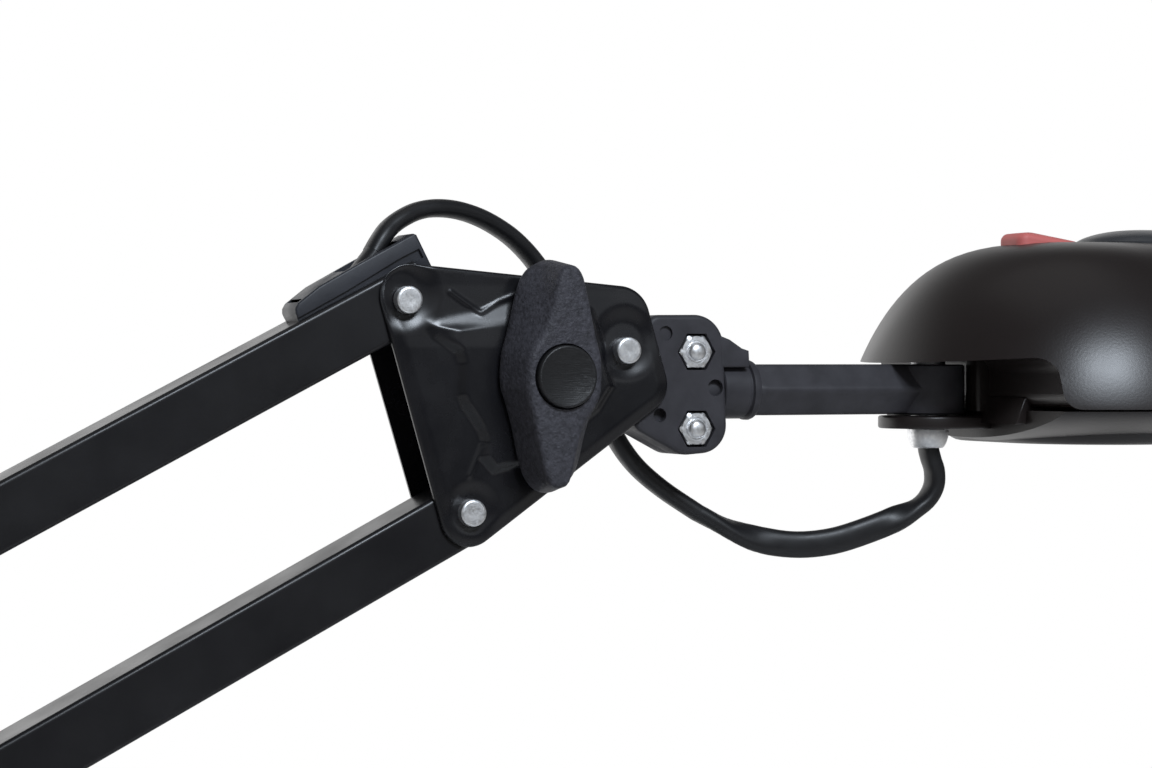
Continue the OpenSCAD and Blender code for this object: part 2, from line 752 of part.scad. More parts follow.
module foot_knob() {
    wing_knob(foot_bolt_at, 90, true);
}

module foot_lead() {
    cord(foot_path, before = next_to_last(base_path), after = lower_path[1]);
}

// Square arm tubes, with the pivot bores and, on a cord tube, a slot near each end
module bar(at, angle, length, slotted) {
    color(black_paint) on_arm(at, angle) difference() {
        along_x(-bar_tail, length + bar_tail) difference() {
            rounded_square(bar_w, bar_corner_r);
            rounded_square(bar_w - 2 * bar_wall, bar_corner_r / 2);
        }
        for (x = [0, length]) pin_y([x, 0], -bar_w, bar_w, rivet_d / 2 + pivot_gap);
        if (slotted) for (x = [slot_from, length - slot_to])
            translate([x, -4, 0]) cube([slot_to - slot_from, 8, bar_w]);
    }
}

// A plastic hood over one cord slot. Its closed end hooks over the tube's end.
module hood(at, angle, length, far_end) {
    color(black_plastic) on_arm(at, angle) translate([far_end ? length : 0, 0, 0])
        mirror([far_end ? 0 : 1, 0, 0]) difference() {
            slab(-hood_w / 2, hood_w / 2) polygon([
                [-hood_back, bar_w / 2], [-hood_back + 1, hood_high - 2], [-hood_back + 8, hood_high - 0.3],
                [hood_front, hood_high], [hood_front, bar_w / 2 - 5], [bar_tail + 0.2, bar_w / 2 - 5],
                [bar_tail + 0.2, bar_w / 2]
            ]);
            translate([-hood_back + 2, -hood_w / 2 + hood_wall, bar_w / 2 - 0.5])
                cube([hood_back - 2 + bar_tail - 1, hood_w - 2 * hood_wall, hood_high - bar_w / 2 - 0.9]);
            translate([-mouth_to, -hood_w / 2 + hood_wall, bar_w / 2])
                cube([mouth_to - mouth_from, hood_w - 2 * hood_wall, hood_high]);
        }
}

// A wound extension spring, drawn as the tube that its close turns fill
module bar_spring(at, angle, length) {
    from = (length - spring_len) / 2;
    color(zinc) on_arm(at, angle) along_x(from, from + spring_len) difference() {
        circle(d = spring_d);
        circle(d = spring_d - 2 * spring_wire);
    }
}

module lower_bar_a() {
    bar(foot_a, lower_angle, lower_len, true);
}

module lower_hoods() {
    hood(foot_a, lower_angle, lower_len, false);
    hood(foot_a, lower_angle, lower_len, true);
}

module lower_lead() {
    cord(lower_path, before = next_to_last(foot_path), after = elbow_low_path[1]);
}

module lower_bar_b() {
    bar(foot_b, lower_angle, lower_len, false);
}

module lower_spring() {
    bar_spring(foot_b, lower_angle, lower_len);
}

// Elbow
elbow_circles = [
    [elbow_a.x, elbow_a.y, plate_r], [elbow_b.x, elbow_b.y, plate_r],
    [elbow_up_a.x, elbow_up_a.y, plate_r - 1]
];
elbow_holes = [
    for (p = [elbow_a, elbow_b, elbow_up_a, elbow_up_b]) [p.x, p.y, rivet_d / 2],
    [elbow_bolt_at.x, elbow_bolt_at.y, bolt_d / 2]
];

module elbow_plate_front() {
    side_plate(elbow_circles, elbow_holes, -1);
}

module elbow_plate_rear() {
    side_plate(elbow_circles, elbow_holes, 1);
}

module elbow_rivets() {
    for (p = [elbow_a, elbow_b, elbow_up_a, elbow_up_b]) rivet(p);
}

module elbow_bolt() {
    clamp_bolt(elbow_bolt_at);
    bolt_spacer(elbow_bolt_at);
}

module elbow_knob() {
    wing_knob(elbow_bolt_at, 20, true);
}

module elbow_lead_lower() {
    cord(elbow_low_path, before = next_to_last(lower_path), after = elbow_high_path[1]);
}

module elbow_lead_upper() {
    cord(elbow_high_path, before = next_to_last(elbow_low_path), after = upper_path[1]);
}

module upper_bar_a() {
    bar(elbow_up_a, upper_angle, upper_len, true);
}

module upper_hood_low() {
    hood(elbow_up_a, upper_angle, upper_len, false);
}

module upper_hood_high() {
    hood(elbow_up_a, upper_angle, upper_len, true);
}

module upper_lead() {
    cord(upper_path, before = next_to_last(elbow_high_path), after = head_top_path[1]);
}

module upper_bar_b() {
    bar(elbow_up_b, upper_angle, upper_len, false);
}

module upper_spring() {
    bar_spring(elbow_up_b, upper_angle, upper_len);
}

// Head bracket
bracket_corner_r = 7.3;
head_circles = [for (c = [
    concat(pivot_b + [0.5, -0.9], bracket_corner_r), [stop_x + 3.1, stop_z - 8.4, bracket_corner_r + 0.1],
    [stop_x - 2.1, stop_z + 7.6, bracket_corner_r + 1.1], concat(pivot_a + [1.1, 0.6], bracket_corner_r)
]) [c.x + knob_at.x, c.y + knob_at.y, c[2]]];
head_holes = [
    for (p = [head_a, head_b, stop_at]) [p.x, p.y, rivet_d / 2],
    [knob_at.x, knob_at.y, bolt_d / 2]
];

module head_plate_front() {
    side_plate(head_circles, head_holes, -1);
}

module head_plate_rear() {
    side_plate(head_circles, head_holes, 1);
}

module head_rivets() {
    for (p = [head_a, head_b, stop_at]) rivet(p);
    color(zinc) difference() {
        pin_y(stop_at, -plate_in_y, plate_in_y, stop_d / 2);
        pin_y(stop_at, -plate_in_y - 1, plate_in_y + 1, rivet_d / 2);
    }
}

module head_bolt() {
    clamp_bolt(knob_at);
}

module head_knob() {
    wing_knob(knob_at, knob_turn, false);
}

module head_knob_cap() {
    knob_cap(knob_at);
}

module head_lead_top() {
    cord(head_top_path, before = next_to_last(upper_path), after = head_mid_path[1]);
}

module head_lead_mid() {
    cord(head_mid_path, before = next_to_last(head_top_path), after = head_end_path[1]);
}

module head_lead_end() {
    cord(head_end_path, before = next_to_last(head_mid_path));
}

// Knuckle: a clamped disc, a neck that passes under the stop rivet, and a block that grips the stem
module knuckle_outline() {
    neck_r = 32;
    circle(d = disc_d);
    polygon([[0, 0], [neck_r * cos(-23.5), neck_r * sin(-23.5)], [neck_r * cos(-3), neck_r * sin(-3)]]);
    difference() {
        round_outline([[29.5, -10.5, 4], [44.6, -12.8, 6], [43.2, 8.7, 6.5], [32.5, 11.6, 3.5]]);
        circle(r = block_in_r);
    }
}

tooth_outline = [[49, 2.1], [57.5, 2.1], [57.3, 6.3], [55.4, 6.9], [52, 9.1], [49, 10.2]];
blind_holes = [[33.9, 10.5, 1.85], [47.6, -3, 2], [32.5, -9.8, 1.7]];
clamp_z = [-stem_drop - clamp_off, -stem_drop + clamp_off];
nut_t = 4;

module knuckle_half(front) {
    half_t = knuckle_t / 2;
    color(dark_plastic) at_xz(knob_at) difference() {
        union() {
            slab(front ? -half_t : 0, front ? 0 : half_t) knuckle_outline();
            if (front) slab(-half_t, 0) polygon(tooth_outline);
        }
        pin_y([0, 0], -half_t - 1, half_t + 1, bolt_d / 2 + pivot_gap);
        translate([0, 0, -stem_drop]) {
            along_x(journal_in - 1, knuckle_end + 1) circle(r = journal_d / 2 + pivot_gap);
            along_x(journal_head_in, journal_in + 0.2) circle(r = journal_head_r + pivot_gap);
            along_x(knuckle_end, knuckle_end + 20) circle(r = stop_tooth_r);
        }
        for (z = clamp_z) {
            pin_y([clamp_x, z], -half_t - 1, half_t + 1, clamp_d / 2 + 0.1);
            if (front) translate([clamp_x, -half_t + nut_t - 0.3, z]) rotate([90, 0, 0])
                cylinder(h = nut_t + 2, r = (nut_af / 2 + 0.2) / cos(30), $fn = 6);
            else pin_y([clamp_x, z], half_t - 3.2, half_t + 1, 4.7);
        }
        if (front) for (h = blind_holes) pin_y(h, -half_t - 1, -half_t + 1.2, h[2]);
    }
}

module knuckle_front() {
    knuckle_half(true);
}

module knuckle_rear() {
    knuckle_half(false);
}

module knuckle_bolts() {
    half_t = knuckle_t / 2;
    color(zinc) at_xz(knob_at) for (z = clamp_z) {
        pin_y([clamp_x, z], -half_t - 0.9, half_t - 3, clamp_d / 2);
        pin_y([clamp_x, z], half_t - 3.1, half_t + 0.1, 4.4);
        difference() {
            translate([clamp_x, -half_t + nut_t - 0.4, z]) rotate([90, 0, 0])
                cylinder(h = nut_t, r = nut_af / 2 / cos(30), $fn = 6);
            pin_y([clamp_x, z], -half_t - 5, half_t, clamp_d / 2);
        }
    }
}

// Stem: a journal held in the knuckle, a collar with a stop lug, a hexagonal rod and an upright boss
module head_stem() {
    color(dark_plastic) difference() {
        translate([knob_at.x, 0, stem_z]) {
            along_x(journal_head_in + 0.2, journal_in) circle(r = journal_head_r);
            along_x(journal_in - 0.5, collar_in + 1) circle(d = journal_d);
            along_x(collar_in, shoulder_end) circle(d = collar_d);
            rotate([-30, 0, 0]) translate([collar_in + 0.4, collar_d / 2 - 1, -1.4]) cube([collar_len, 3, 2.8]);
            along_x(shoulder_end - 0.5, head_reach) circle(r = hex_r, $fn = 6);
            translate([head_reach, 0, -stem_af / 2 - 0.25]) cylinder(h = stem_af + 0.5, d = boss_d);
        }
        translate([head_pivot_x, 0, stem_z - 20]) cylinder(h = 40, r = nipple_r);
    }
}

// The hollow nipple is the head's pivot: the cord goes up it from the domed end underneath
module pivot_nipple() {
    dome_z = tongue_low - 4.4;
    color(zinc) translate([head_pivot_x, 0, 0]) rotate_extrude() difference() {
        union() {
            translate([0, dome_z + 2]) square([nipple_r, roof_top + 7 - dome_z - 2]);
            polygon([[0, dome_z], [4.1, dome_z], [4.8, dome_z + 0.8], [5.3, dome_z + 2.2], [5.4, dome_z + 3.4],
                [5.4, tongue_low - 0.2], [0, tongue_low - 0.2]]);
        }
        translate([0, dome_z - 1]) square([nipple_bore_r, 60]);
    }
}

module pivot_nut() {
    color(zinc) translate([head_pivot_x, 0, roof_top + 0.2]) difference() {
        rotate(30) cylinder(h = 3.2, r = 6.2, $fn = 6);
        translate([0, 0, -1]) cylinder(h = 6, r = nipple_r);
    }
}

// Head shells: rings between two rounded ends, drawn in towards a ridge by a share u of the half width
head_sides = 48;
head_levels = [1, 0.985, 0.94, 0.86, 0.75, 0.6, 0.42, 0.22, 0.05];
function head_ring(u, z, inset) = [
    for (k = [0:head_sides - 1])
        let (a = 360 * (k + 0.5) / head_sides, c = cos(a), s = sin(a))
        [(c < 0 ? rear_c + (rear_len - inset) * u * c : front_c + (front_len - inset) * u * c),
            (head_w / 2 - inset) * u * s, z]
];
function level_h(u, power, bulge) = pow(1 - pow(u, power), 1 / bulge);

module dome_solid(inset) {
    skin([for (u = head_levels)
        head_ring(u, seam_z + (dome_h - inset) * level_h(u, dome_power, dome_bulge), inset)]);
}

module tray_solid(inset) {
    skin([for (k = [len(head_levels) - 1:-1:0])
        let (u = head_levels[k])
        head_ring(u, seam_z - (tray_h - inset) * level_h(u, tray_power, tray_bulge), inset)]);
}

// A block across the head, from behind its rear edge to x_end
module rear_block(x_end, z_low, z_high) {
    translate([head_rear_x - 10, -head_w, z_low]) cube([x_end - head_rear_x + 10, 2 * head_w, z_high - z_low]);
}

// The same block under the cover, with a roof that rises towards its front end
module recess_cut() {
    back = head_rear_x - 10;
    slope = recess_rise / (recess_x - head_rear_x);
    slab(-head_w, head_w) polygon([
        [back, seam_z - 1], [recess_x, seam_z - 1], [recess_x, recess_top + recess_rise],
        [back, recess_top - 10 * slope]
    ]);
}

module screw_posts(z_low, z_high, r) {
    for (p = shell_screws) translate([p.x, p.y, z_low]) cylinder(h = z_high - z_low, r = r);
}

module head_cover() {
    color(black_plastic) difference() {
        dome_solid(0);
        difference() {
            translate([0, 0, -0.01]) dome_solid(shell_t);
            rear_block(recess_x + shell_t, seam_z - 1, roof_top);
            screw_posts(seam_z - 1, dome_top, shell_post_r);
        }
        screw_posts(seam_z - 1, seam_z + 9, 1.5);
        recess_cut();
        translate([head_pivot_x, 0, seam_z]) cylinder(h = 30, r = nipple_r + pivot_gap);
        translate([switch_x - rocker_len / 2 - 1.4, -rocker_w / 2 - 1.4, dome_top - 10])
            cube([rocker_len + 2.8, rocker_w + 2.8, 14]);
        translate([dial_x, 0, dome_top - 20]) cylinder(h = 30, r = 3 + pivot_gap);
        translate([dial_x, 0, dial_z - 0.2]) cylinder(h = 5, r = dial_d / 2 + 0.4);
    }
}

module light_opening(grow) {
    round_outline([
        for (s = [[1, 1], [-1, 1], [-1, -1], [1, -1]])
            [light_c + s.x * (light_len / 2 - opening_r), s.y * (light_half_w - opening_r), opening_r + grow]
    ]);
}

module head_tray() {
    color(black_plastic) difference() {
        union() {
            difference() {
                tray_solid(0);
                difference() {
                    translate([0, 0, 0.01]) tray_solid(shell_t);
                    rear_block(recess_x + shell_t, seam_z - tray_h - 5, seam_z + 1);
                    screw_posts(seam_z - tray_h, seam_z + 1, shell_post_r);
                    translate([0, 0, seam_z - tray_h - 1]) linear_extrude(tray_h + 1 - light_depth) light_opening(3.2);
                }
                rear_block(recess_x, seam_z - tray_h - 5, seam_z + 1);
            }
            translate([0, 0, tongue_low]) linear_extrude(tongue_t) {
                translate([head_pivot_x, 0]) circle(r = tongue_r);
                translate([head_pivot_x, -tongue_r]) square([recess_x - head_pivot_x + 1, 2 * tongue_r]);
            }
        }
        translate([head_pivot_x, 0, tongue_low - 1]) cylinder(h = 10, r = nipple_r + pivot_gap);
        translate([0, 0, seam_z - tray_h - 1]) linear_extrude(tray_h) light_opening(0);
        translate([0, 0, diffuser_z]) linear_extrude(tray_h) light_opening(2);
        screw_posts(seam_z - tray_h - 5, seam_z + 1, 1.6);
        screw_posts(seam_z - tray_h - 5, seam_z - screw_seat, 3.1);
    }
}

module diffuser() {
    color("#e9ebee") translate([0, 0, diffuser_z]) {
        linear_extrude(2) light_opening(2);
        linear_extrude(board_z - diffuser_z) difference() {
            light_opening(2);
            light_opening(-1.5);
        }
    }
}

module led_board() {
    led_rows = 3;
    led_columns = 10;
    color("#e4e6e4") translate([0, 0, board_z]) linear_extrude(board_t) light_opening(1.6);
    color("#f2e7b0") for (i = [0:led_columns - 1], j = [0:led_rows - 1])
        translate([light_c + (i - (led_columns - 1) / 2) * led_pitch,
            (j - (led_rows - 1) / 2) * led_row_pitch, board_z - led_t / 2])
            cube([led_size, led_size - led_t, led_t], center = true);
}

module driver_board() {
    top = driver_z + board_t;
    color("#2f5d3a") translate([light_c - driver_len / 2, -driver_w / 2, driver_z])
        cube([driver_len, driver_w, board_t]);
    color("#3a3a3c") translate([light_c - driver_len / 2 + 7, 5 - choke_w, top])
        cube([choke_len, choke_w, choke_h]);
    color("#2a2a33") for (x = [0, 2.8 * can_r, 5.2 * can_r])
        translate([light_c + x, can_r + 1, top]) cylinder(h = can_h, r = can_r);
    color("#2f5d3a") translate([dial_x, 0, top]) cylinder(h = dial_z - top - 8, r = dimmer_case_r);
    color(steel) for (x = [-spacer_x, spacer_x], y = [-spacer_y, spacer_y])
        translate([light_c + x, y, board_z + board_t]) cylinder(h = driver_z - board_z - board_t, r = spacer_r);
}

module head_screws() {
    color(zinc) {
        screw_posts(seam_z - screw_seat - screw_head_t, seam_z - screw_seat, 2.9);
        screw_posts(seam_z - screw_seat - 0.3, seam_z + 8, 1.5);
    }
}

// Switch and dial
module switch_frame() {
    color(dark_plastic) translate([switch_x, 0, 0]) difference() {
        translate([-rocker_len / 2 - 1.4, -rocker_w / 2 - 1.4, dome_top - 14])
            cube([rocker_len + 2.8, rocker_w + 2.8, 12.2]);
        translate([-rocker_len / 2 - 0.6, -rocker_w / 2 - 0.3, dome_top - 12])
            cube([rocker_len + 1.2, rocker_w + 0.6, 14]);
        pin_y([0, rocker_z], -rocker_w, rocker_w, 1.2 + pivot_gap);
    }
}

module switch_rocker() {
    half = rocker_len / 2;
    color("#c4444a") translate([switch_x, 0, 0]) {
        slab(-rocker_w / 2, rocker_w / 2) polygon([
            [-half, dome_top - 5], [half, dome_top - 5], [half, dome_top - 0.4], [half - 3, dome_top + 0.7],
            [1, dome_top + rocker_rise - 1], [-half + 5, dome_top + rocker_rise],
            [-half + 1.6, dome_top + rocker_rise - 0.5], [-half + 0.3, dome_top + rocker_rise - 1.8]
        ]);
        pin_y([0, rocker_z], -rocker_w / 2 - 0.9, rocker_w / 2 + 0.9, 1.2);
    }
}

module dimmer_dial() {
    r = dial_d / 2;
    dome_r = (r * r + dial_h * dial_h) / (2 * dial_h);
    color("#4a4b50") translate([dial_x, 0, dial_z]) {
        rotate_extrude() intersection() {
            translate([0, dial_h - dome_r]) circle(r = dome_r, $fn = 200);
            square([r, dial_h + 1]);
        }
        translate([0, 0, -8]) cylinder(h = 9, r = 3);
    }
}

base_cover();
base_weight();
base_pad();
base_post();
base_screws();
base_lead();
cord_gland();
mains_cord_run();
mains_cord_coil();
mains_plug();
swivel_pin();
swivel_block();
foot_plate_front();
foot_plate_rear();
foot_rivets();
foot_bolt();
foot_knob();
foot_lead();
lower_bar_a();
lower_hoods();
lower_lead();
lower_bar_b();
lower_spring();
elbow_plate_front();
elbow_plate_rear();
elbow_rivets();
elbow_bolt();
elbow_knob();
elbow_lead_lower();
elbow_lead_upper();
upper_bar_a();
upper_hood_low();
upper_hood_high();
upper_lead();
upper_bar_b();
upper_spring();
head_plate_front();
head_plate_rear();
head_rivets();
head_bolt();
head_knob();
head_knob_cap();
head_lead_top();
head_lead_mid();
head_lead_end();
knuckle_front();
knuckle_rear();
knuckle_bolts();
head_stem();
pivot_nipple();
pivot_nut();
head_cover();
head_tray();
diffuser();
led_board();
driver_board();
head_screws();
switch_frame();
switch_rocker();
dimmer_dial();
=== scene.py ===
# Visual model of a sprung-arm LED table lamp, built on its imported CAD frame. Lengths here are in millimetres.
import json
import math

import bmesh
import bpy
from mathutils import Matrix, Vector
from mathutils.geometry import delaunay_2d_cdt


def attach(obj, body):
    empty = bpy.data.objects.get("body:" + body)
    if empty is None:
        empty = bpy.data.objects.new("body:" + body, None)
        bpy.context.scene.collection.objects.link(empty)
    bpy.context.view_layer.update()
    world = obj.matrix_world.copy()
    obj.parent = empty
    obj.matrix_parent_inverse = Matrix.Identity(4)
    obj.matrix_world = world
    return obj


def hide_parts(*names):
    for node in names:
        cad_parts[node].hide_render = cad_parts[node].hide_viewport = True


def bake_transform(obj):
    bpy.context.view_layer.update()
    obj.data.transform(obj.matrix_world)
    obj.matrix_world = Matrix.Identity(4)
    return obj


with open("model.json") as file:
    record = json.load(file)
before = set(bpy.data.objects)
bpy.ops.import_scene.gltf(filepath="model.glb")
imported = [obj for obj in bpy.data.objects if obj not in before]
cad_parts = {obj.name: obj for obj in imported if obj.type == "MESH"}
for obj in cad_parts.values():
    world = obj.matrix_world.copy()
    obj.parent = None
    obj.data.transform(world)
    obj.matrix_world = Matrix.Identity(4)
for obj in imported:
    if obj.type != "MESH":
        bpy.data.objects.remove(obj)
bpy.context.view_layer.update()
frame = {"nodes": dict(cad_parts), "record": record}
nodes = frame["nodes"]
MM = 0.001

# Places of the pivots in the lamp's plane Y = 0, as in the part's source
FOOT_A, FOOT_B, FOOT_BOLT = Vector((-23, 0, 110.3)), Vector((23, 0, 110.3)), Vector((8, 0, 80.3))
LOWER, UPPER, LENGTH = math.radians(108), math.radians(27.4), 370
ELBOW_A = FOOT_A + LENGTH * Vector((math.cos(LOWER), 0, math.sin(LOWER)))
ELBOW_B = ELBOW_A + Vector((46, 0, 0))
ELBOW_UP = ELBOW_A + Vector((11, 0, 90))
ELBOW_UP_B = ELBOW_UP + Vector((16.2, 0, -51.2))
ELBOW_BOLT = ELBOW_A + Vector((5, 0, 44))
HEAD_A = ELBOW_UP + LENGTH * Vector((math.cos(UPPER), 0, math.sin(UPPER)))
K = HEAD_A + Vector((34, 0, -18.3))
HEAD_B, STOP = K + Vector((-17.8, 0, -32.9)), K + Vector((23, 0, 6.3))
STEM_Z = K.z - 3.65
PIVOT_X = K.x + 113.3
SEAM = K.z - 8.4
REAR_X = PIVOT_X - 17
REAR_LEN, FRONT_LEN, HALF_W, HEAD_LEN = 63, 66, 58, 237
REAR_C, FRONT_C = REAR_X + REAR_LEN, REAR_X + HEAD_LEN - FRONT_LEN
DOME_H, TRAY_H = 43.8, 10.4
DOME_TOP = SEAM + DOME_H
PLATE_IN, PLATE_OUT = 7.8, 9.0
X_AXIS, Y_AXIS, Z_AXIS, TO_VIEWER = (1, 0, 0), (0, 1, 0), (0, 0, 1), (0, -1, 0)
WELD = 2e-6


# ---- mesh helpers ----
def loft(rings, start=True, end=True):
    """Closed rings of equal count joined in turn, with flat ends."""
    count = len(rings[0])
    verts = [tuple(p) for ring in rings for p in ring]
    faces = [
        (i * count + k, i * count + (k + 1) % count, (i + 1) * count + (k + 1) % count, (i + 1) * count + k)
        for i in range(len(rings) - 1)
        for k in range(count)
    ]
    if start:
        faces.append(tuple(range(count)))
    if end:
        faces.append(tuple(range((len(rings) - 1) * count, len(rings) * count)))
    return verts, faces


def lathe(at, axis, profile, sides=48, radius=None):
    """Rings round an axis; profile is (radius, distance along it). radius(angle) can square a ring off."""
    axis = Vector(axis).normalized()
    side = axis.orthogonal().normalized() if abs(axis.z) > 0.9 else axis.cross(Vector((0, 0, 1))).normalized()
    other = axis.cross(side)
    rings = []
    for r, h in profile:
        ring = []
        for k in range(sides):
            a = 2 * math.pi * k / sides
            rr = min(r, radius(a)) if radius else r
            ring.append(Vector(at) + axis * h + side * rr * math.cos(a) + other * rr * math.sin(a))
        rings.append(ring)
    return loft(rings)


def hexagon(flats):
    def radius(a):
        b = a % (math.pi / 3) - math.pi / 6
        return flats / 2 / math.cos(b)
    return radius


def arc_hull(circles, step=1.2, seg=None):
    """The outline round circles (x, z, r), anticlockwise; seg splits its straight runs."""
    count, out = len(circles), []

    def bearing(a, b):
        dx, dz = b[0] - a[0], b[1] - a[1]
        return math.atan2(dz, dx) - math.acos((a[2] - b[2]) / math.hypot(dx, dz))

    for i, c in enumerate(circles):
        g0, g1 = bearing(circles[i - 1], c), bearing(c, circles[(i + 1) % count])
        while g1 < g0:
            g1 += 2 * math.pi
        n = max(2, round(c[2] * (g1 - g0) / step))
        for k in range(n + 1):
            a = g0 + (g1 - g0) * k / n
            out.append((c[0] + c[2] * math.cos(a), c[1] + c[2] * math.sin(a)))
    return split_runs(out, seg) if seg else out


def split_runs(points, seg):
    """The closed outline with its long runs cut into pieces of about seg."""
    out = []
    for (x0, z0), (x1, z1) in zip(points, points[1:] + points[:1]):
        n = max(1, round(math.hypot(x1 - x0, z1 - z0) / seg))
        out += [(x0 + (x1 - x0) * k / n, z0 + (z1 - z0) * k / n) for k in range(n)]
    return out


def inset(points, d):
    """The outline drawn in by d; points run anticlockwise."""
    out = []
    n = len(points)
    for i in range(n):
        a, b, c = Vector(points[i - 1]), Vector(points[i]), Vector(points[(i + 1) % n])
        e0, e1 = (b - a).normalized(), (c - b).normalized()
        m = Vector((e0.y + e1.y, -e0.x - e1.x))
        m.normalize()
        cos = max(0.6, m.dot(Vector((e1.y, -e1.x))))
        out.append(tuple(b - m * d / cos))
    return out


def smooth_loop(points, n=4):
    out = []
    count = len(points)
    for i in range(count):
        p = [Vector(points[(i + k - 1) % count]) for k in range(4)]
        for k in range(n):
            t = k / n
            q = 0.5 * (2 * p[1] + (p[2] - p[0]) * t + (2 * p[0] - 5 * p[1] + 4 * p[2] - p[3]) * t * t
                       + (3 * p[1] - p[0] - 3 * p[2] + p[3]) * t ** 3)
            out.append(tuple(q))
    return out


def smooth_line(points, n=6):
    pts = [Vector(p) for p in points]
    pts = [2 * pts[0] - pts[1]] + pts + [2 * pts[-1] - pts[-2]]
    out = []
    for i in range(1, len(pts) - 2):
        p = pts[i - 1:i + 3]
        for k in range(n):
            t = k / n
            out.append(0.5 * (2 * p[1] + (p[2] - p[0]) * t + (2 * p[0] - 5 * p[1] + 4 * p[2] - p[3]) * t * t
                              + (3 * p[1] - p[0] - 3 * p[2] + p[3]) * t ** 3))
    return out + [pts[-2]]


def slab(outline, y0, y1, f0=0.5, f1=0.5, steps=4, at=(0, 0, 0)):
    """An XZ outline as a slab from y0 to y1 with rounded edges f0 and f1."""
    rings = []
    for f, y, sign, order in ((f0, y0, 1, range(steps + 1)), (f1, y1, -1, range(steps, -1, -1))):
        for k in order:
            a = math.pi / 2 * k / steps
            ring = inset(outline, f * (1 - math.sin(a))) if k < steps else outline
            rings.append([(x + at[0], y + sign * f * (1 - math.cos(a)) + at[1], z + at[2]) for x, z in ring])
    return loft(rings)


def slab_z(outline, z0, z1, f0=0.5, f1=0.5, steps=4):
    verts, faces = slab(outline, z0, z1, f0, f1, steps)
    return [(x, z, y) for x, y, z in verts], faces


def panel(outline, y, side, height, step, edge=0.5, depth=1.2, at=(0, 0, 0)):
    """A stamped plate: a fine face raised by height(x, z) towards side, rounded edges and a plain back."""
    face_line = inset(outline, edge)
    low_x, high_x = min(p[0] for p in face_line), max(p[0] for p in face_line)
    low_z, high_z = min(p[1] for p in face_line), max(p[1] for p in face_line)
    grid = []
    row = 0
    z = low_z + step / 2
    while z < high_z:
        x = low_x + (step / 2 if row % 2 else step)
        while x < high_x:
            gap = min(
                ((bx - ax) * (z - az) - (bz - az) * (x - ax)) / max(1e-6, math.hypot(bx - ax, bz - az))
                for (ax, az), (bx, bz) in zip(face_line, face_line[1:] + face_line[:1])
            )
            if gap > 0.55 * step:
                grid.append((x, z))
            x += step
        z += step * 0.866
        row += 1
    n = len(face_line)
    flat, _, faces, *_ = delaunay_2d_cdt(
        [Vector(p) for p in face_line + grid], [(i, (i + 1) % n) for i in range(n)], [], 1, 1e-5
    )
    verts = [(p.x + at[0], y + side * height(p.x, p.y) + at[1], p.y + at[2]) for p in flat]
    faces = [tuple(f) for f in faces]
    base = len(verts)
    rings = []
    for k in range(0, 5):
        a = math.pi / 2 * k / 4
        ring = face_line if k == 0 else inset(outline, edge * (1 - math.sin(a)))
        h = [height(*p) for p in face_line]
        rings.append([
            (x + at[0], y + side * (hh * (1 - k / 4) - edge * (1 - math.cos(a))) + at[1], z + at[2])
            for (x, z), hh in zip(ring, h)
        ])
    rings.append([(x + at[0], y - side * depth + at[1], z + at[2]) for x, z in outline])
    rv, rf = loft(rings, start=False)
    return verts + rv, faces + [tuple(i + base for i in f) for f in rf]


def joined(*parts):
    verts, faces = [], []
    for v, f in parts:
        base = len(verts)
        verts += list(v)
        faces += [tuple(i + base for i in face) for face in f]
    return verts, faces


def moved(part, matrix):
    return [tuple(matrix @ Vector(v)) for v in part[0]], part[1]


def make(name, part, body, mat, replaces=(), angle=35, ride=True):
    verts, faces = part
    mesh = bpy.data.meshes.new(name)
    mesh.from_pydata([[c * MM for c in v] for v in verts], [], faces)
    bm = bmesh.new()
    bm.from_mesh(mesh)
    bmesh.ops.remove_doubles(bm, verts=bm.verts, dist=WELD)
    bmesh.ops.recalc_face_normals(bm, faces=bm.faces)
    bm.to_mesh(mesh)
    bm.free()
    mesh.materials.append(mat)
    ob = bpy.data.objects.new(name, mesh)
    bpy.context.collection.objects.link(ob)
    shade(ob, angle)
    if replaces:
        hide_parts(*replaces)
    if ride:
        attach(ob, body)
    return ob


def shade(ob, angle=35):
    mesh = ob.data
    mesh.polygons.foreach_set("use_smooth", [True] * len(mesh.polygons))
    mesh.set_sharp_from_angle(angle=math.radians(angle))


def cut(ob, *parts, angle=35):
    """Takes each raw part out of a made object."""
    for part in parts:
        tool = make("tool", part, None, ob.data.materials[0], ride=False)
        mod = ob.modifiers.new("cut", "BOOLEAN")
        mod.operation, mod.object, mod.solver = "DIFFERENCE", tool, "EXACT"
        graph = bpy.context.evaluated_depsgraph_get()
        mesh = bpy.data.meshes.new_from_object(ob.evaluated_get(graph))
        ob.modifiers.remove(mod)
        old = ob.data
        ob.data = mesh
        bpy.data.meshes.remove(old)
        bpy.data.objects.remove(tool)
    shade(ob, angle)
    return ob


def box(x0, x1, y0, y1, z0, z1):
    verts = [(x, y, z) for x in (x0, x1) for y in (y0, y1) for z in (z0, z1)]
    return verts, [(0, 1, 3, 2), (4, 6, 7, 5), (0, 4, 5, 1), (2, 3, 7, 6), (0, 2, 6, 4), (1, 5, 7, 3)]


def squared(a, power):
    """A point of the unit circle, drawn out towards a square."""
    c, s = math.cos(a), math.sin(a)
    return math.copysign(abs(c) ** power, c), math.copysign(abs(s) ** power, s)


def ease(t):
    t = min(1, max(0, t))
    return t * t * (3 - 2 * t)


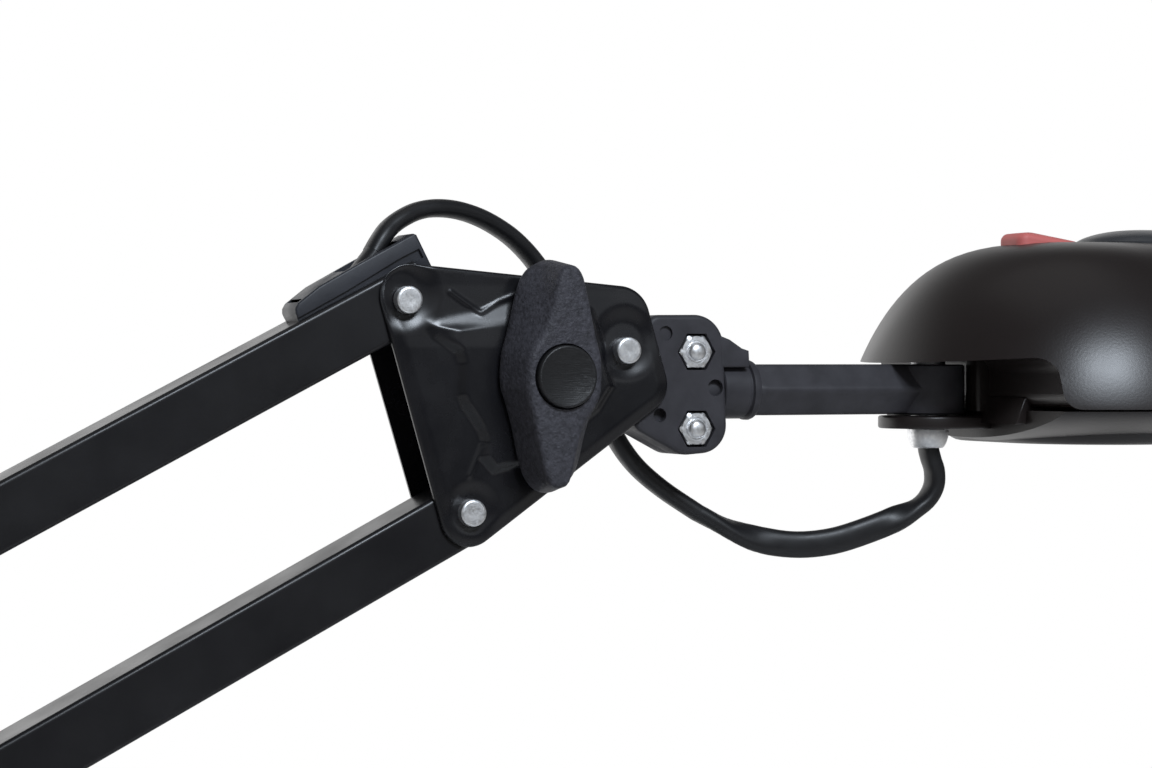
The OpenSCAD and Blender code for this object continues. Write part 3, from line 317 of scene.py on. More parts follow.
# ---- materials ----
def material(name, color, rough, metal=0.0, vary=0.15, mottle=60, rough_vary=0.06, bumps=(), streak=None,
             specular=0.5):
    """A procedural surface; bumps is a list of (noise scale, strength, distance, stretch)."""
    mat = bpy.data.materials.new(name)
    mat.use_nodes = True
    tree = mat.node_tree
    shader = tree.nodes["Principled BSDF"]
    shader.inputs["Metallic"].default_value = metal
    shader.inputs["Specular IOR Level"].default_value = specular
    coord = tree.nodes.new("ShaderNodeTexCoord")

    def noise(scale, detail=3, stretch=None):
        node = tree.nodes.new("ShaderNodeTexNoise")
        node.inputs["Scale"].default_value = scale
        node.inputs["Detail"].default_value = detail
        if stretch:
            mapping = tree.nodes.new("ShaderNodeMapping")
            mapping.inputs["Scale"].default_value = stretch
            tree.links.new(coord.outputs["Object"], mapping.inputs["Vector"])
            tree.links.new(mapping.outputs["Vector"], node.inputs["Vector"])
        else:
            tree.links.new(coord.outputs["Object"], node.inputs["Vector"])
        return node.outputs["Fac"]

    def spread(source, low, high):
        node = tree.nodes.new("ShaderNodeMapRange")
        node.inputs["From Min"].default_value = 0.3
        node.inputs["From Max"].default_value = 0.7
        node.inputs["To Min"].default_value = low
        node.inputs["To Max"].default_value = high
        tree.links.new(source, node.inputs["Value"])
        return node.outputs["Result"]

    mix = tree.nodes.new("ShaderNodeMix")
    mix.data_type = "RGBA"
    mix.inputs[6].default_value = [c * (1 - vary) for c in color] + [1]
    mix.inputs[7].default_value = [min(1, c * (1 + vary)) for c in color] + [1]
    tree.links.new(spread(noise(mottle), 0, 1), mix.inputs[0])
    tree.links.new(mix.outputs[2], shader.inputs["Base Color"])
    wear = noise(mottle * 2.3, 5, streak)
    tree.links.new(spread(wear, rough - rough_vary, rough + rough_vary), shader.inputs["Roughness"])
    normal = None
    for scale, strength, distance, stretch in bumps:
        bump = tree.nodes.new("ShaderNodeBump")
        bump.inputs["Strength"].default_value = strength
        bump.inputs["Distance"].default_value = distance
        tree.links.new(noise(scale, 2, stretch), bump.inputs["Height"])
        if normal:
            tree.links.new(normal, bump.inputs["Normal"])
        normal = bump.outputs["Normal"]
    if normal:
        tree.links.new(normal, shader.inputs["Normal"])
    return mat


paint = material("black powder coat", (0.0085, 0.0082, 0.0098), 0.34, mottle=25,
                 bumps=[(1400, 0.25, 0.00005, None)])
gloss = material("satin black enamel", (0.0085, 0.0085, 0.0105), 0.26, rough_vary=0.05,
                 bumps=[(260, 0.12, 0.00008, None)])
grain = material("grained black plastic", (0.054, 0.053, 0.063), 0.55, mottle=900, vary=0.35, specular=0.3,
                 bumps=[(1500, 1.0, 0.0003, None)])
smooth_black = material("smooth black plastic", (0.011, 0.011, 0.012), 0.38, streak=(1, 1, 30),
                        bumps=[(260, 0.9, 0.00008, (1, 1, 22))])
knuckle_mat = material("grey-black moulded plastic", (0.048, 0.0465, 0.053), 0.46, specular=0.3, mottle=140, vary=0.2,
                       bumps=[(900, 0.35, 0.00005, None)])
shell = material("satin black shell", (0.0155, 0.0112, 0.0105), 0.35, mottle=9, vary=0.1,
                 bumps=[(1500, 0.4, 0.00004, None)])
hood_mat = material("blue-black hood plastic", (0.027, 0.029, 0.037), 0.45, mottle=90,
                    bumps=[(350, 0.5, 0.00008, None)])
red = material("matte red plastic", (0.72, 0.18, 0.165), 0.52, bumps=[(1300, 0.3, 0.00004, None)], vary=0.05)
dial_mat = material("grey dial plastic", (0.05, 0.052, 0.056), 0.3, vary=0.05,
                    bumps=[(1200, 0.2, 0.00003, None)])
zinc = material("bright zinc plate", (0.93, 0.94, 0.96), 0.42, metal=1, vary=0.16, mottle=900, rough_vary=0.12,
                bumps=[(1700, 0.35, 0.00006, None)])
steel = material("turned steel", (0.42, 0.43, 0.44), 0.34, metal=1, mottle=200,
                 bumps=[(900, 0.2, 0.00004, (1, 1, 8))])
cord_mat = material("black cord sheath", (0.012, 0.012, 0.0135), 0.42, mottle=120,
                    bumps=[(1100, 0.25, 0.00004, None)])
rubber = material("matte rubber", (0.014, 0.014, 0.014), 0.7, bumps=[(1500, 0.6, 0.00008, None)])
opal = material("opal diffuser", (0.86, 0.87, 0.88), 0.42, vary=0.015, bumps=[(800, 0.2, 0.00004, None)])
board = material("white board", (0.74, 0.75, 0.72), 0.45, vary=0.03)
green = material("green board", (0.03, 0.12, 0.055), 0.4, vary=0.1)
slots = {"black_paint": paint, "plate_paint": gloss, "steel": steel, "zinc": zinc, "pad_rubber": rubber,
         "cord_rubber": cord_mat, "knob_plastic": grain, "knuckle_plastic": knuckle_mat, "shell_plastic": shell,
         "rocker_red": red, "dial_plastic": dial_mat, "diffuser_white": opal, "board_white": board,
         "board_green": green}
for sub in frame["record"]["subparts"]:
    ob = nodes[sub["node"]]
    ob.data.materials.clear()
    ob.data.materials.append(slots[sub["material_slot"]])
    for face in ob.data.polygons:
        face.material_index = 0


# ---- camera ----
cam_data = bpy.data.cameras.new("camera")
LENS, SENSOR, CAMERA_TURN, CAMERA_DIP = 83.49, 36, 22.5, 0.51
CAMERA_AT = Vector((K.x - 241.48, -614.29, K.z + 3.90))
cam_data.lens, cam_data.sensor_width, cam_data.clip_start = LENS, SENSOR, 0.01
camera = bpy.data.objects.new("camera", cam_data)
camera.location = CAMERA_AT * MM
camera.rotation_euler = (math.radians(90 - CAMERA_DIP), 0, math.radians(-CAMERA_TURN))
bpy.context.collection.objects.link(camera)
bpy.context.scene.camera = camera


# ---- cords: a flat sheath swept along the routes of the part's source ----
CORD_W, CORD_T = 7.0, 4.5


def sweep(path, level=False, sides=20, n=5, twist=None):
    """A flat cord along path; twist(place) turns its section, where place counts the path's points."""
    line = smooth_line(path, n)
    rings = []
    for i, p in enumerate(line):
        step = (line[min(i + 1, len(line) - 1)] - line[max(i - 1, 0)]).normalized()
        side = Vector((0, 0, 1)).cross(step) if level else Vector((0, 1, 0)) - step * step.y
        side.normalize()
        if twist:
            side = Matrix.Rotation(twist(i / n), 3, step) @ side
        up = step.cross(side)
        ring = []
        for k in range(sides):
            c, s = squared(2 * math.pi * (k + 0.5) / sides, 0.8)
            ring.append(p + side * CORD_W / 2 * c + up * CORD_T / 2 * s)
        rings.append(ring)
    return loft(rings), line


def placed(at, points):
    return [(x + at.x, y, z + at.z) for x, y, z in points]


def length_of(line):
    return sum((b - a).length for a, b in zip(line, line[1:]))


def lead(name, route, a, start, end, node, twist=None):
    """A run of cord swept along route in place of node, with twist turning its section; a, start and end are not
    used.
    """
    part, line = sweep(route, twist=twist)
    ob = make(name, part, a, cord_mat, (node,), angle=60, ride=False)
    [c * MM for c in start]
    [c * MM for c in end]
    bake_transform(ob)
    [c * MM for c in line[0]]
    length_of(line) * MM
    [tuple(c * MM for c in p) for p in line]
    return ob


head_top_route = placed(K, [
    (-39.8, 1, 29.8), (-37.6, 1.5, 33.2), (-34.9, 2.8, 36.1), (-31.3, 4, 38.5), (-26.9, 5.6, 40.4), (-22, 7, 41.3),
    (-16, 9, 41.2), (-10, 11, 40), (-4.5, 12.8, 38), (1, 14.2, 35), (6, 15.4, 31), (10.5, 16, 26)])
head_mid_route = placed(K, [
    (10.5, 16, 26), (14.5, 16, 20), (18, 16, 13.5), (21, 16, 7), (24, 16, 0), (26.5, 16, -7),
    (29, 16, -13), (32, 15.5, -18.5), (36.5, 15, -24), (43, 13.5, -29.6), (51.8, 12, -35.5)])
head_end_route = placed(K, [
    (51.8, 12, -35.5), (60.6, 10, -40.1), (69.3, 8.5, -43), (78.5, 7, -44.2), (88, 5.5, -43.4),
    (97.5, 4, -40.7), (106, 2.5, -37.4), (112.4, 1.5, -34), (115.3, 0.8, -29.8), (115.4, 0.3, -25.4),
    (114, 0, -21.6), (113.3, 0, -18), (113.3, 0, -8), (113.3, 0, 10)])
elbow_low_route = placed(ELBOW_UP, [
    (-21.7, 0, -98.7), (-28, 0, -93), (-35, 0, -85), (-40.5, 0, -75), (-44, 0, -63), (-45, 0, -50)])
elbow_high_route = placed(ELBOW_UP, [
    (-45, 0, -50), (-44, 0, -35), (-40.5, 0, -20), (-34.5, 0, -6), (-26, 0, 6), (-15.5, 0, 12.8), (-1.5, 0, 13.8)])
foot_route = [
    (0, 0, 72.3), (-1.2, 0, 75), (-5, 0, 77.2), (-12, 0, 78), (-20, 0, 78.4), (-28, 0, 80.5), (-35, 0, 85),
    (-39.5, 0, 92), (-41, 0, 99.5), (-39.7, 0, 106), (-36.8, 0, 111.1)]
mains_run_route = [
    (-130, 0, 8), (-136, 0, 8), (-143, 0, 7.2), (-151, 0, 5.4), (-160, 0, 3.3), (-168, 0, 2.5), (-177, 0, 2.5)]

lead("lead_head_top", head_top_route, "upper_bar_a", head_top_route[1], head_top_route[9],
     "head_lead_top")
lead("lead_head_mid", head_mid_route, "head_bracket", head_mid_route[1], head_mid_route[9],
     "head_lead_mid")
lead("lead_head_end", head_end_route, "knuckle", head_end_route[0],
     (head_end_route[10][0], 0, head_end_route[0][2]), "head_lead_end",
     lambda t: math.radians(88) * (ease(t / 2.6) - ease((t - 5.2) / 1.7)))
lead("lead_elbow_low", elbow_low_route, "lower_bar_a", elbow_low_route[0], elbow_low_route[4],
     "elbow_lead_lower")
lead("lead_elbow_high", elbow_high_route, "elbow", elbow_high_route[1], elbow_high_route[6],
     "elbow_lead_upper")


TUBE_DIP = ((5, 12.9), (8.5, 9.4), (14, 6.2), (22, 3.7))


def tube_route(at, angle, far=TUBE_DIP):
    """The cord's place inside an arm tube, from one slot to the other."""
    along = Vector((math.cos(angle), 0, math.sin(angle)))
    across = Vector((-math.sin(angle), 0, math.cos(angle)))
    return [at + along * x + across * z for x, z in list(TUBE_DIP) + [(LENGTH - x, z) for x, z in far[::-1]]]


hidden_leads = [
    ("base_lead", "base",
     [(-130, 0, 8), (-60, 0, 8), (-22, 0, 8), (-10, 0, 8.6), (-4, 0, 11), (-1, 0, 15), (0, 0, 21), (0, 0, 72.3)]),
    ("lower_lead", "lower_bar_a", tube_route(FOOT_A, LOWER)),
    ("upper_lead", "upper_bar_a",
     tube_route(ELBOW_UP, UPPER, ((-0.1, 12.9), (4.5, 10.8), (9, 8.7), (14, 6.4), (22, 3.7)))),
]
for node, body, route in hidden_leads:
    make(node + "_cord", sweep(route, n=3)[0], body, cord_mat, (node,), angle=60)

lead("lead_foot", foot_route, "swivel", foot_route[4], foot_route[9], "foot_lead")


COIL_AT, COIL_R, COIL_STEP, COIL_LOW, COIL_RISE = Vector((-185, -53.2, 0)), 28.5, 7.6, 2.5, 5.4
COIL_TURNS, COIL_COUNT = 6.5, 24


def coil_point(u):
    """The put-away cord after u turns: a flat spiral inwards, a step up, and a second one outwards."""
    r = COIL_R + COIL_STEP * abs(COIL_TURNS / 2 - u)
    a = math.pi / 2 + 2 * math.pi * u
    z = COIL_LOW + COIL_RISE * min(1, max(0, (u - 3.0) * 2))
    return (COIL_AT.x + r * math.cos(a), COIL_AT.y + r * math.sin(a), z)


coil = [coil_point(i / COIL_COUNT) for i in range(round(COIL_TURNS * COIL_COUNT) + 1)]
end = Vector(coil[-1])
tail = [tuple(end + Vector(d)) for d in (
    (9, 0, 0), (20, -0.3, -0.6), (32, -0.6, -1), (50, 0, -1.05), (56, 0, -1.05))]
part, line = sweep(mains_run_route + coil + tail, level=True, sides=12, n=2)
mains = make("mains_cord", part, "base", cord_mat, ("mains_cord_run", "mains_cord_coil"),
             angle=60)

gland = [(4.1, 0), (4.4, 0.3), (4.6, 1.2)]
for k in range(5):
    low, grow = 3.2 + 4.6 * k, 0.12 * k
    gland += [(4.3 + grow, low), (5.2 + grow, low + 0.35), (5.3 + grow, low + 2.3), (4.4 + grow, low + 2.7)]
gland += [(5, 26.6), (6.9, 27), (7.2, 27.4), (7.2, 29.2), (6.9, 29.7), (4.9, 29.8), (4.9, 33.8)]
make("gland_sleeve", lathe((-130, 0, 8), X_AXIS, gland, 40), "base", rubber, ("cord_gland",))

PLUG_AT = Vector((-135, -106.4, 6.85))
PIN_SPREAD = 9.3


def plug_ring(x, w, h, power):
    """A rounded section of the plug, x along it from the cord's end."""
    ring = []
    for k in range(32):
        c, s = squared(2 * math.pi * (k + 0.5) / 32, power)
        ring.append((PLUG_AT.x + x, PLUG_AT.y + w * c, PLUG_AT.z + h * s))
    return ring


plug_sizes = ((0, 5.6, 4.6), (0.8, 6.2, 5.2), (5, 7, 5.8), (12, 8.6, 6.4), (20, 12.6, 6.7), (27, 16.4, 6.8),
              (30, 17.4, 6.8), (34.5, 17.6, 6.8), (35.7, 17.1, 6.4), (36, 16.4, 5.7))
plug = make("plug", loft([plug_ring(x, w, h, 0.45) for x, w, h in plug_sizes]), "base", grain,
            ("mains_plug",))
pin_spots = [PLUG_AT + Vector((35, side * PIN_SPREAD, 0)) for side in (-1, 1)]
pins = joined(*[lathe(at, X_AXIS, [(2, 0), (2, 18.4), (1.7, 19.4), (1, 20)], 24) for at in pin_spots],
              *[lathe(at + Vector((0.8, 0, 0)), X_AXIS, [(2.9, 0), (2.9, 0.4)], 24) for at in pin_spots])
plug_pins = make("plug_pins", pins, "base", zinc)
ribs = joined(*[loft([plug_ring(x + dx, w + d, h + d, 0.5)
                       for dx, d in ((-0.7, -0.3), (-0.4, 0.45), (0.4, 0.45), (0.7, -0.3))])
                for x, w, h in ((4, 6.7, 5.7), (7, 7.4, 6), (10, 8.1, 6.1), (13, 9, 6.3))])
plug_ribs = make("plug_ribs", ribs, "base", grain)


# A strap round the coil's bundle holds it together
def tie_section(angle, wide):
    d = Vector((math.cos(angle), math.sin(angle), 0))
    n = Vector((-d.y, d.x, 0))
    inner = smooth_loop([(27.2, 0.35), (54.6, 0.35), (56.0, 3), (55.6, 9.6), (53.4, 11.0), (28.2, 11.0), (26.4, 9.4),
                         (26.0, 3)], 5)
    outer = inset(inner, -0.9)
    rings = []
    for line, s in ((outer, -1), (outer, 1), (inner, 1), (inner, -1)):
        rings.append([COIL_AT + d * r + n * wide / 2 * s + Vector((0, 0, max(0.15, z))) for r, z in line])
    rings.append(rings[0])
    return loft(rings, start=False, end=False)


tie = make("coil_tie", tie_section(math.radians(200), 9), "base", rubber)
length_of(line) * MM
[tuple(c * MM for c in p) for p in line]

# ---- light, floor and background: bright low behind the lamp, dim elsewhere, white where the camera looks ----
world = bpy.data.worlds.new("studio")
bpy.context.scene.world = world
world.use_nodes = True
tree = world.node_tree
tree.nodes.clear()
coord = tree.nodes.new("ShaderNodeTexCoord")
split = tree.nodes.new("ShaderNodeSeparateXYZ")
tree.links.new(coord.outputs["Generated"], split.inputs[0])


def world_ramp(source, points):
    node = tree.nodes.new("ShaderNodeValToRGB")
    scale = tree.nodes.new("ShaderNodeMapRange")
    scale.inputs["From Min"].default_value, scale.inputs["From Max"].default_value = -1, 1
    tree.links.new(source, scale.inputs["Value"])
    ramp = node.color_ramp
    while len(ramp.elements) < len(points):
        ramp.elements.new(0.5)
    for e, (pos, value) in zip(ramp.elements, points):
        e.position, e.color = (pos + 1) / 2, (value, value, value, 1)
    tree.links.new(scale.outputs["Result"], node.inputs["Fac"])
    return node.outputs["Color"]


by_height = world_ramp(split.outputs["Z"], [
    (-1, 0.4), (-0.4, 0.32), (-0.13, 0.015), (-0.04, 0.02), (0.02, 0.11), (0.1, 0.2), (0.22, 0.3), (0.34, 0.14),
    (0.45, 0.06), (0.8, 0.06), (1, 0.1)])
by_back = world_ramp(split.outputs["Y"], [(-1, 0.0), (0.35, 0.0), (0.62, 0.95), (1, 1.0)])
low_back = world_ramp(split.outputs["Z"], [(-1, 0.9), (0, 1), (0.3, 1), (0.52, 0.5), (0.68, 0.1), (1, 0.05)])
by_side = world_ramp(split.outputs["X"], [(-1, 1), (0.08, 1), (0.3, 0.6), (1, 0.55)])


def blended(kind, a, b):
    node = tree.nodes.new("ShaderNodeMix")
    node.data_type, node.blend_type = "RGBA", kind
    node.inputs[0].default_value = 1
    tree.links.new(a, node.inputs[6])
    tree.links.new(b, node.inputs[7])
    return node.outputs[2]


lit = tree.nodes.new("ShaderNodeBackground")
back_light = blended("MULTIPLY", blended("MULTIPLY", by_back, low_back), by_side)
tree.links.new(blended("LIGHTEN", by_height, back_light), lit.inputs["Color"])
lit.inputs["Strength"].default_value = 1.3
white = tree.nodes.new("ShaderNodeBackground")
white.inputs["Color"].default_value = (1, 1, 1, 1)
white.inputs["Strength"].default_value = 1.0
rays = tree.nodes.new("ShaderNodeLightPath")
pick = tree.nodes.new("ShaderNodeMixShader")
out = tree.nodes.new("ShaderNodeOutputWorld")
tree.links.new(rays.outputs["Is Camera Ray"], pick.inputs[0])
tree.links.new(lit.outputs[0], pick.inputs[1])
tree.links.new(white.outputs[0], pick.inputs[2])
tree.links.new(pick.outputs[0], out.inputs["Surface"])


def area(name, place, target, size, power, color=(1, 1, 1)):
    light = bpy.data.lights.new(name, "AREA")
    light.color = color
    light.shape, light.size, light.size_y, light.energy = "RECTANGLE", size[0], size[1], power
    ob = bpy.data.objects.new(name, light)
    ob.location = place
    ob.rotation_euler = (Vector(target) - Vector(place)).to_track_quat("-Z", "Y").to_euler()
    bpy.context.collection.objects.link(ob)


area("front softbox", (0.26, -1.27, 1.69), (0.42, 0, 0.7), (0.6, 0.28), 18, (0.82, 0.9, 1))
area("overhead softbox", (0.3, 0.1, 2.3), (0.3, 0, 0.7), (1.2, 1.2), 1.2)
area("right strip", (1.0, -1.35, 0.92), (0.3, 0, 0.7), (0.5, 0.3), 0.3, (0.86, 0.93, 1))
floor_mat = material("pale floor", (0.82, 0.82, 0.82), 0.6, vary=0.01)
FLOOR_R, FLOOR_SIDES = 1100, 72
floor_turns = [2 * math.pi * k / FLOOR_SIDES for k in range(FLOOR_SIDES)]
floor_ring = [(FLOOR_R * math.cos(a), FLOOR_R * math.sin(a), 0) for a in floor_turns]
floor = make("floor", (floor_ring, [tuple(range(FLOOR_SIDES))]), None, floor_mat, ride=False)
scene = bpy.context.scene
scene.view_settings.view_transform = "Standard"
scene.view_settings.look = "None"


# ---- plates, rivets and bolts ----
def rivet(at, shift=0.0):
    front = lathe((at.x + shift, -PLATE_OUT + 0.4, at.z), TO_VIEWER,
                  [(3.3, 0), (3.3, 2.3), (3.2, 2.75), (2.9, 3.0), (2.6, 3.05), (1.2, 2.94), (0.3, 2.92)], 48)
    back = lathe((at.x, PLATE_OUT - 0.2, at.z), (0, 1, 0),
                 [(5, 0), (5, 0.9), (4.8, 1.5), (4.1, 2.0), (3, 2.2), (1, 2.25), (0.2, 2.25)], 40)
    shank = lathe((at.x, PLATE_OUT, at.z), TO_VIEWER, [(2.95, 0), (2.95, 2 * PLATE_OUT)], 32)
    return joined(front, back, shank)


def clamp_bolt(at):
    head = lathe((at.x, PLATE_OUT, at.z), Y_AXIS, [(5.8, 0), (5.8, 3.3), (5.1, 4), (0.4, 4)], 72, hexagon(10))
    return joined(head, lathe((at.x, PLATE_OUT, at.z), TO_VIEWER, [(3, 0), (3, 27)], 32))


def dimples(spots):
    """Rivet seats: a sunk pad with a soft raised rim."""
    def height(x, z):
        h = 0
        for sx, sz, r in spots:
            d = math.hypot(x - sx, z - sz)
            h += -0.55 * ease((r + 1.6 - d) / 2.6) + 0.4 * math.exp(-(((d - r - 3.0) / 1.5) ** 2))
        return h
    return height


# The bracket's raised pad, its V crease and its rivet seats (x, z, radius, depth, width of the slope), from K
pad_line = [(-30, 11.8), (-28.2, 9.4), (-25.3, 7.6), (-22.6, 5.7), (-21.8, 3), (-22, -1), (-22.1, -4.6),
            (-20.9, -7.3), (-18.8, -10.1), (-17, -12.9), (-15.8, -16), (-16.4, -19.6), (-13, -23.5), (-5, -21.5),
            (6, -15), (15, -8.5), (19, -2.5), (17.2, 2.5), (16.6, 9), (13.5, 16.5), (6, 20.4), (-4.5, 19.4),
            (-16, 17), (-27, 14.6), (-29.8, 13.4)]
crease_line = [(-23.5, 20.4), (-19.4, 17.6), (-15.9, 15.4), (-11.1, 18.2), (-4.5, 20.6)]
head_seats = ((-35.6, 20, 4.6, 1.1, 5.6), (-18, -32.4, 3.6, 0.7, 4.4), (22.2, 8.2, 4.6, 1.1, 5.4))


def inside(line, x, z):
    """Distance into a closed outline, negative outside it."""
    best, odd = 1e9, False
    for (ax, az), (bx, bz) in zip(line, line[1:] + line[:1]):
        t = min(1, max(0, ((x - ax) * (bx - ax) + (z - az) * (bz - az)) / ((bx - ax) ** 2 + (bz - az) ** 2)))
        best = min(best, math.hypot(x - ax - t * (bx - ax), z - az - t * (bz - az)))
        if (az > z) != (bz > z) and x < ax + (z - az) * (bx - ax) / (bz - az):
            odd = not odd
    return best if odd else -best


def off_line(line, x, z):
    """Distance from an open line."""
    best = 1e9
    for (ax, az), (bx, bz) in zip(line, line[1:]):
        t = min(1, max(0, ((x - ax) * (bx - ax) + (z - az) * (bz - az)) / ((bx - ax) ** 2 + (bz - az) ** 2)))
        best = min(best, math.hypot(x - ax - t * (bx - ax), z - az - t * (bz - az)))
    return best


def head_height(x, z):
    """The stamped bracket: a raised pad round the knob, low seats at the rivets, two thin creases."""
    top = ease((z - 7) / 6) * ease((6 - x) / 8)
    h = (1.75 - 0.15 * top) * ease((inside(pad_line, x, z) + 0.5) / (2.7 + 4.3 * top))
    h += 0.05 * min(15, max(0, 22 - z)) * ease(inside(head_line, x, z) / 3.5)
    for sx, sz, r, deep, soft in head_seats:
        h -= deep * (1 - ease((math.hypot(x - sx, z - sz) - r) / soft))
    h += 0.28 * math.exp(-((off_line(crease_line, x, z) / 0.5) ** 2))
    return h + 0.3 * math.exp(-((off_line([(-15.7, -16.8), (-18.8, -24)], x, z) / 0.5) ** 2))


head_circles = [(-18.4, -33.8, 7.5), (26.7, -2.1, 7.4), (21, 13.9, 8.4), (-33.3, 19.3, 7.7)]
head_line = arc_hull(head_circles, 0.6, 0.6)
rear_line = arc_hull([(-18.8, -33.8, 7.3)] + head_circles[1:3] + [(-34.6, 18.9, 7.3)], 0.6, 0.6)
make("head_plate_front_skin", panel(head_line, -PLATE_OUT, -1, head_height, 0.5, 0.85, at=(K.x, 0, K.z)),
     "head_bracket", gloss, ("head_plate_front",), angle=50)
make("head_plate_rear_skin", panel(rear_line, PLATE_OUT, 1, head_height, 0.9, 0.5, at=(K.x, 0, K.z)),
     "head_bracket", gloss, ("head_plate_rear",), angle=50)
spacer = lathe((STOP.x, -PLATE_IN, STOP.z), Y_AXIS, [(3.2, 0), (3.2, 2 * PLATE_IN)], 32)
make("head_rivets_zinc", joined(*[rivet(p, -0.5) for p in (HEAD_A, HEAD_B, STOP)], spacer), "head_bracket", zinc,
     ("head_rivets",))
make("head_bolt_zinc", clamp_bolt(K), "head_bracket", zinc, ("head_bolt",))

foot_circles = [(-12, 57.3, 6), (12, 57.3, 6), (23, 110.3, 13), (-23, 110.3, 13)]
foot_seats = dimples([(-23, 110.3, 3.4), (23, 110.3, 3.4), (-13, 57.3, 1.6), (13, 57.3, 1.6)])
foot_line = arc_hull(foot_circles, 0.9, 0.9)
elbow_spots = [(p.x - ELBOW_A.x, p.z - ELBOW_A.z) for p in (ELBOW_A, ELBOW_B, ELBOW_UP, ELBOW_UP_B)]
elbow_line = arc_hull([(0, 0, 13), (46, 0, 13), (11, 90, 12)], 0.9, 0.9)
elbow_seats = dimples([(x, z, 3.4) for x, z in elbow_spots])
for tag, y, side in (("front", -PLATE_OUT, -1), ("rear", PLATE_OUT, 1)):
    make(f"foot_plate_{tag}_skin", panel(foot_line, y, side, foot_seats, 1.0, 0.5), "swivel", gloss,
         (f"foot_plate_{tag}",), angle=50)
    make(f"elbow_plate_{tag}_skin",
         panel(elbow_line, y, side, elbow_seats, 1.1, 0.5, at=(ELBOW_A.x, 0, ELBOW_A.z)), "elbow", gloss,
         (f"elbow_plate_{tag}",), angle=50)
blocks = [Vector((-13, 0, 57.3)), Vector((13, 0, 57.3))]
make("foot_rivets_zinc", joined(*[rivet(p) for p in [FOOT_A, FOOT_B] + blocks]), "swivel", zinc,
     ("foot_rivets",))
make("foot_bolt_zinc", clamp_bolt(FOOT_BOLT), "swivel", zinc, ("foot_bolt",))
make("elbow_rivets_zinc", joined(*[rivet(p) for p in (ELBOW_A, ELBOW_B, ELBOW_UP, ELBOW_UP_B)]), "elbow", zinc,
     ("elbow_rivets",))
make("elbow_bolt_zinc", joined(clamp_bolt(ELBOW_BOLT), lathe((ELBOW_BOLT.x, -PLATE_IN, ELBOW_BOLT.z), (0, 1, 0),
     [(5, 0), (5, 2 * PLATE_IN)], 32)), "elbow", zinc, ("elbow_bolt",))

# ---- wing knobs: half outlines (x, z) at the underside and at the face ----
knob_base = [(12.6, 1.8), (11.6, 5.1), (10.4, 9), (9.4, 12.9), (8.5, 17.3), (7.6, 21.2), (6.4, 24.4), (4, 27.3),
             (1, 28.4), (-2.6, 28), (-5.4, 26.6), (-7.4, 24), (-8.5, 21), (-9.2, 18.2), (-10.2, 13.7), (-11.3, 9.3),
             (-12.4, 4.8)]
knob_face = [(9.4, 1.8), (9.1, 5.2), (8.1, 9), (7.2, 13), (6.3, 17.3), (5.5, 21), (4.6, 24.2), (3, 26.2),
             (0.8, 26.4), (-1, 25.4), (-2.2, 21.8), (-3.1, 17), (-4.1, 13), (-5.5, 9.9), (-7.7, 7.1), (-9.1, 3.9)]
UNDER, FACE = -12.2, -25.2
LEAST_HEIGHT = 4.5


def by_angle(half, count=200):
    """A wing's half outline and its twin, smoothed, as points at equal angles round the knob's axis."""
    loop = smooth_loop(half + [(-x, -z) for x, z in half], 5)
    out = []
    for k in range(count):
        a = 2 * math.pi * (k + 0.5) / count
        c, s = math.cos(a), math.sin(a)
        reach = 0
        for (ax, az), (bx, bz) in zip(loop, loop[1:] + loop[:1]):
            p, q = ax * s - az * c, bx * s - bz * c
            if (p < 0) != (q < 0):
                t = p / (p - q)
                reach = max(reach, (ax + t * (bx - ax)) * c + (az + t * (bz - az)) * s)
        out.append((c * reach, s * reach))
    return out


base_line, face_line = by_angle(knob_base), by_angle(knob_face)


def drawn_in(line, d):
    """The star-shaped outline moved in by d, each point kept at its own angle."""
    out = []
    for (ax, az), (x, z), (bx, bz) in zip(line[-1:] + line[:-1], line, line[1:] + line[:1]):
        height = abs(x * (bz - az) - z * (bx - ax)) / math.hypot(bx - ax, bz - az)
        scale = 1 - d / max(height, LEAST_HEIGHT)
        out.append((x * scale, z * scale))
    return out


KNOB_EDGES = ((UNDER, 1.3), (UNDER - 0.3, 0.5), (UNDER - 1.0, 0.0), (UNDER - 2.5, 0.0), (UNDER - 5, 0.0),
              (UNDER - 8, 0.0), (FACE + 1.6, 0.0), (FACE + 0.9, 0.08), (FACE + 0.5, 0.25), (FACE + 0.2, 0.55),
              (FACE + 0.04, 0.95), (FACE, 1.4))


def knob(at, turn, name, body, replaces, cap_name=None, cap_nodes=()):
    rings = []
    for y, draw in KNOB_EDGES:
        t = (y - UNDER) / (FACE - UNDER)
        line = [(a[0] + (b[0] - a[0]) * t, a[1] + (b[1] - a[1]) * t) for a, b in zip(base_line, face_line)]
        rings.append([(x, y, z) for x, z in drawn_in(line, draw)])
    body_part = loft(rings)
    hub = lathe((0, -9.3, 0), TO_VIEWER, [(8, 0), (8, 6)], 64)
    place = Matrix.Translation((at.x, 0, at.z)) @ Matrix.Rotation(math.radians(turn), 4, "Y")
    ob = make(name, moved(body_part, place), body, grain, replaces, angle=40)
    cut(ob, moved(lathe((0, FACE + 1.4, 0), TO_VIEWER, [(7.95, 0), (7.95, 4)], 72), place), angle=40)
    make(name + "_hub", moved(hub, place), body, grain)
    cap = lathe((0, FACE + 1.2, 0), TO_VIEWER,
                [(7.5, 0), (7.5, 2.3), (7.4, 2.6), (7.15, 2.8), (6.9, 2.82), (6.6, 2.7), (0.3, 2.68)], 72)
    make(cap_name or name + "_cap", moved(cap, place), body, smooth_black, cap_nodes)


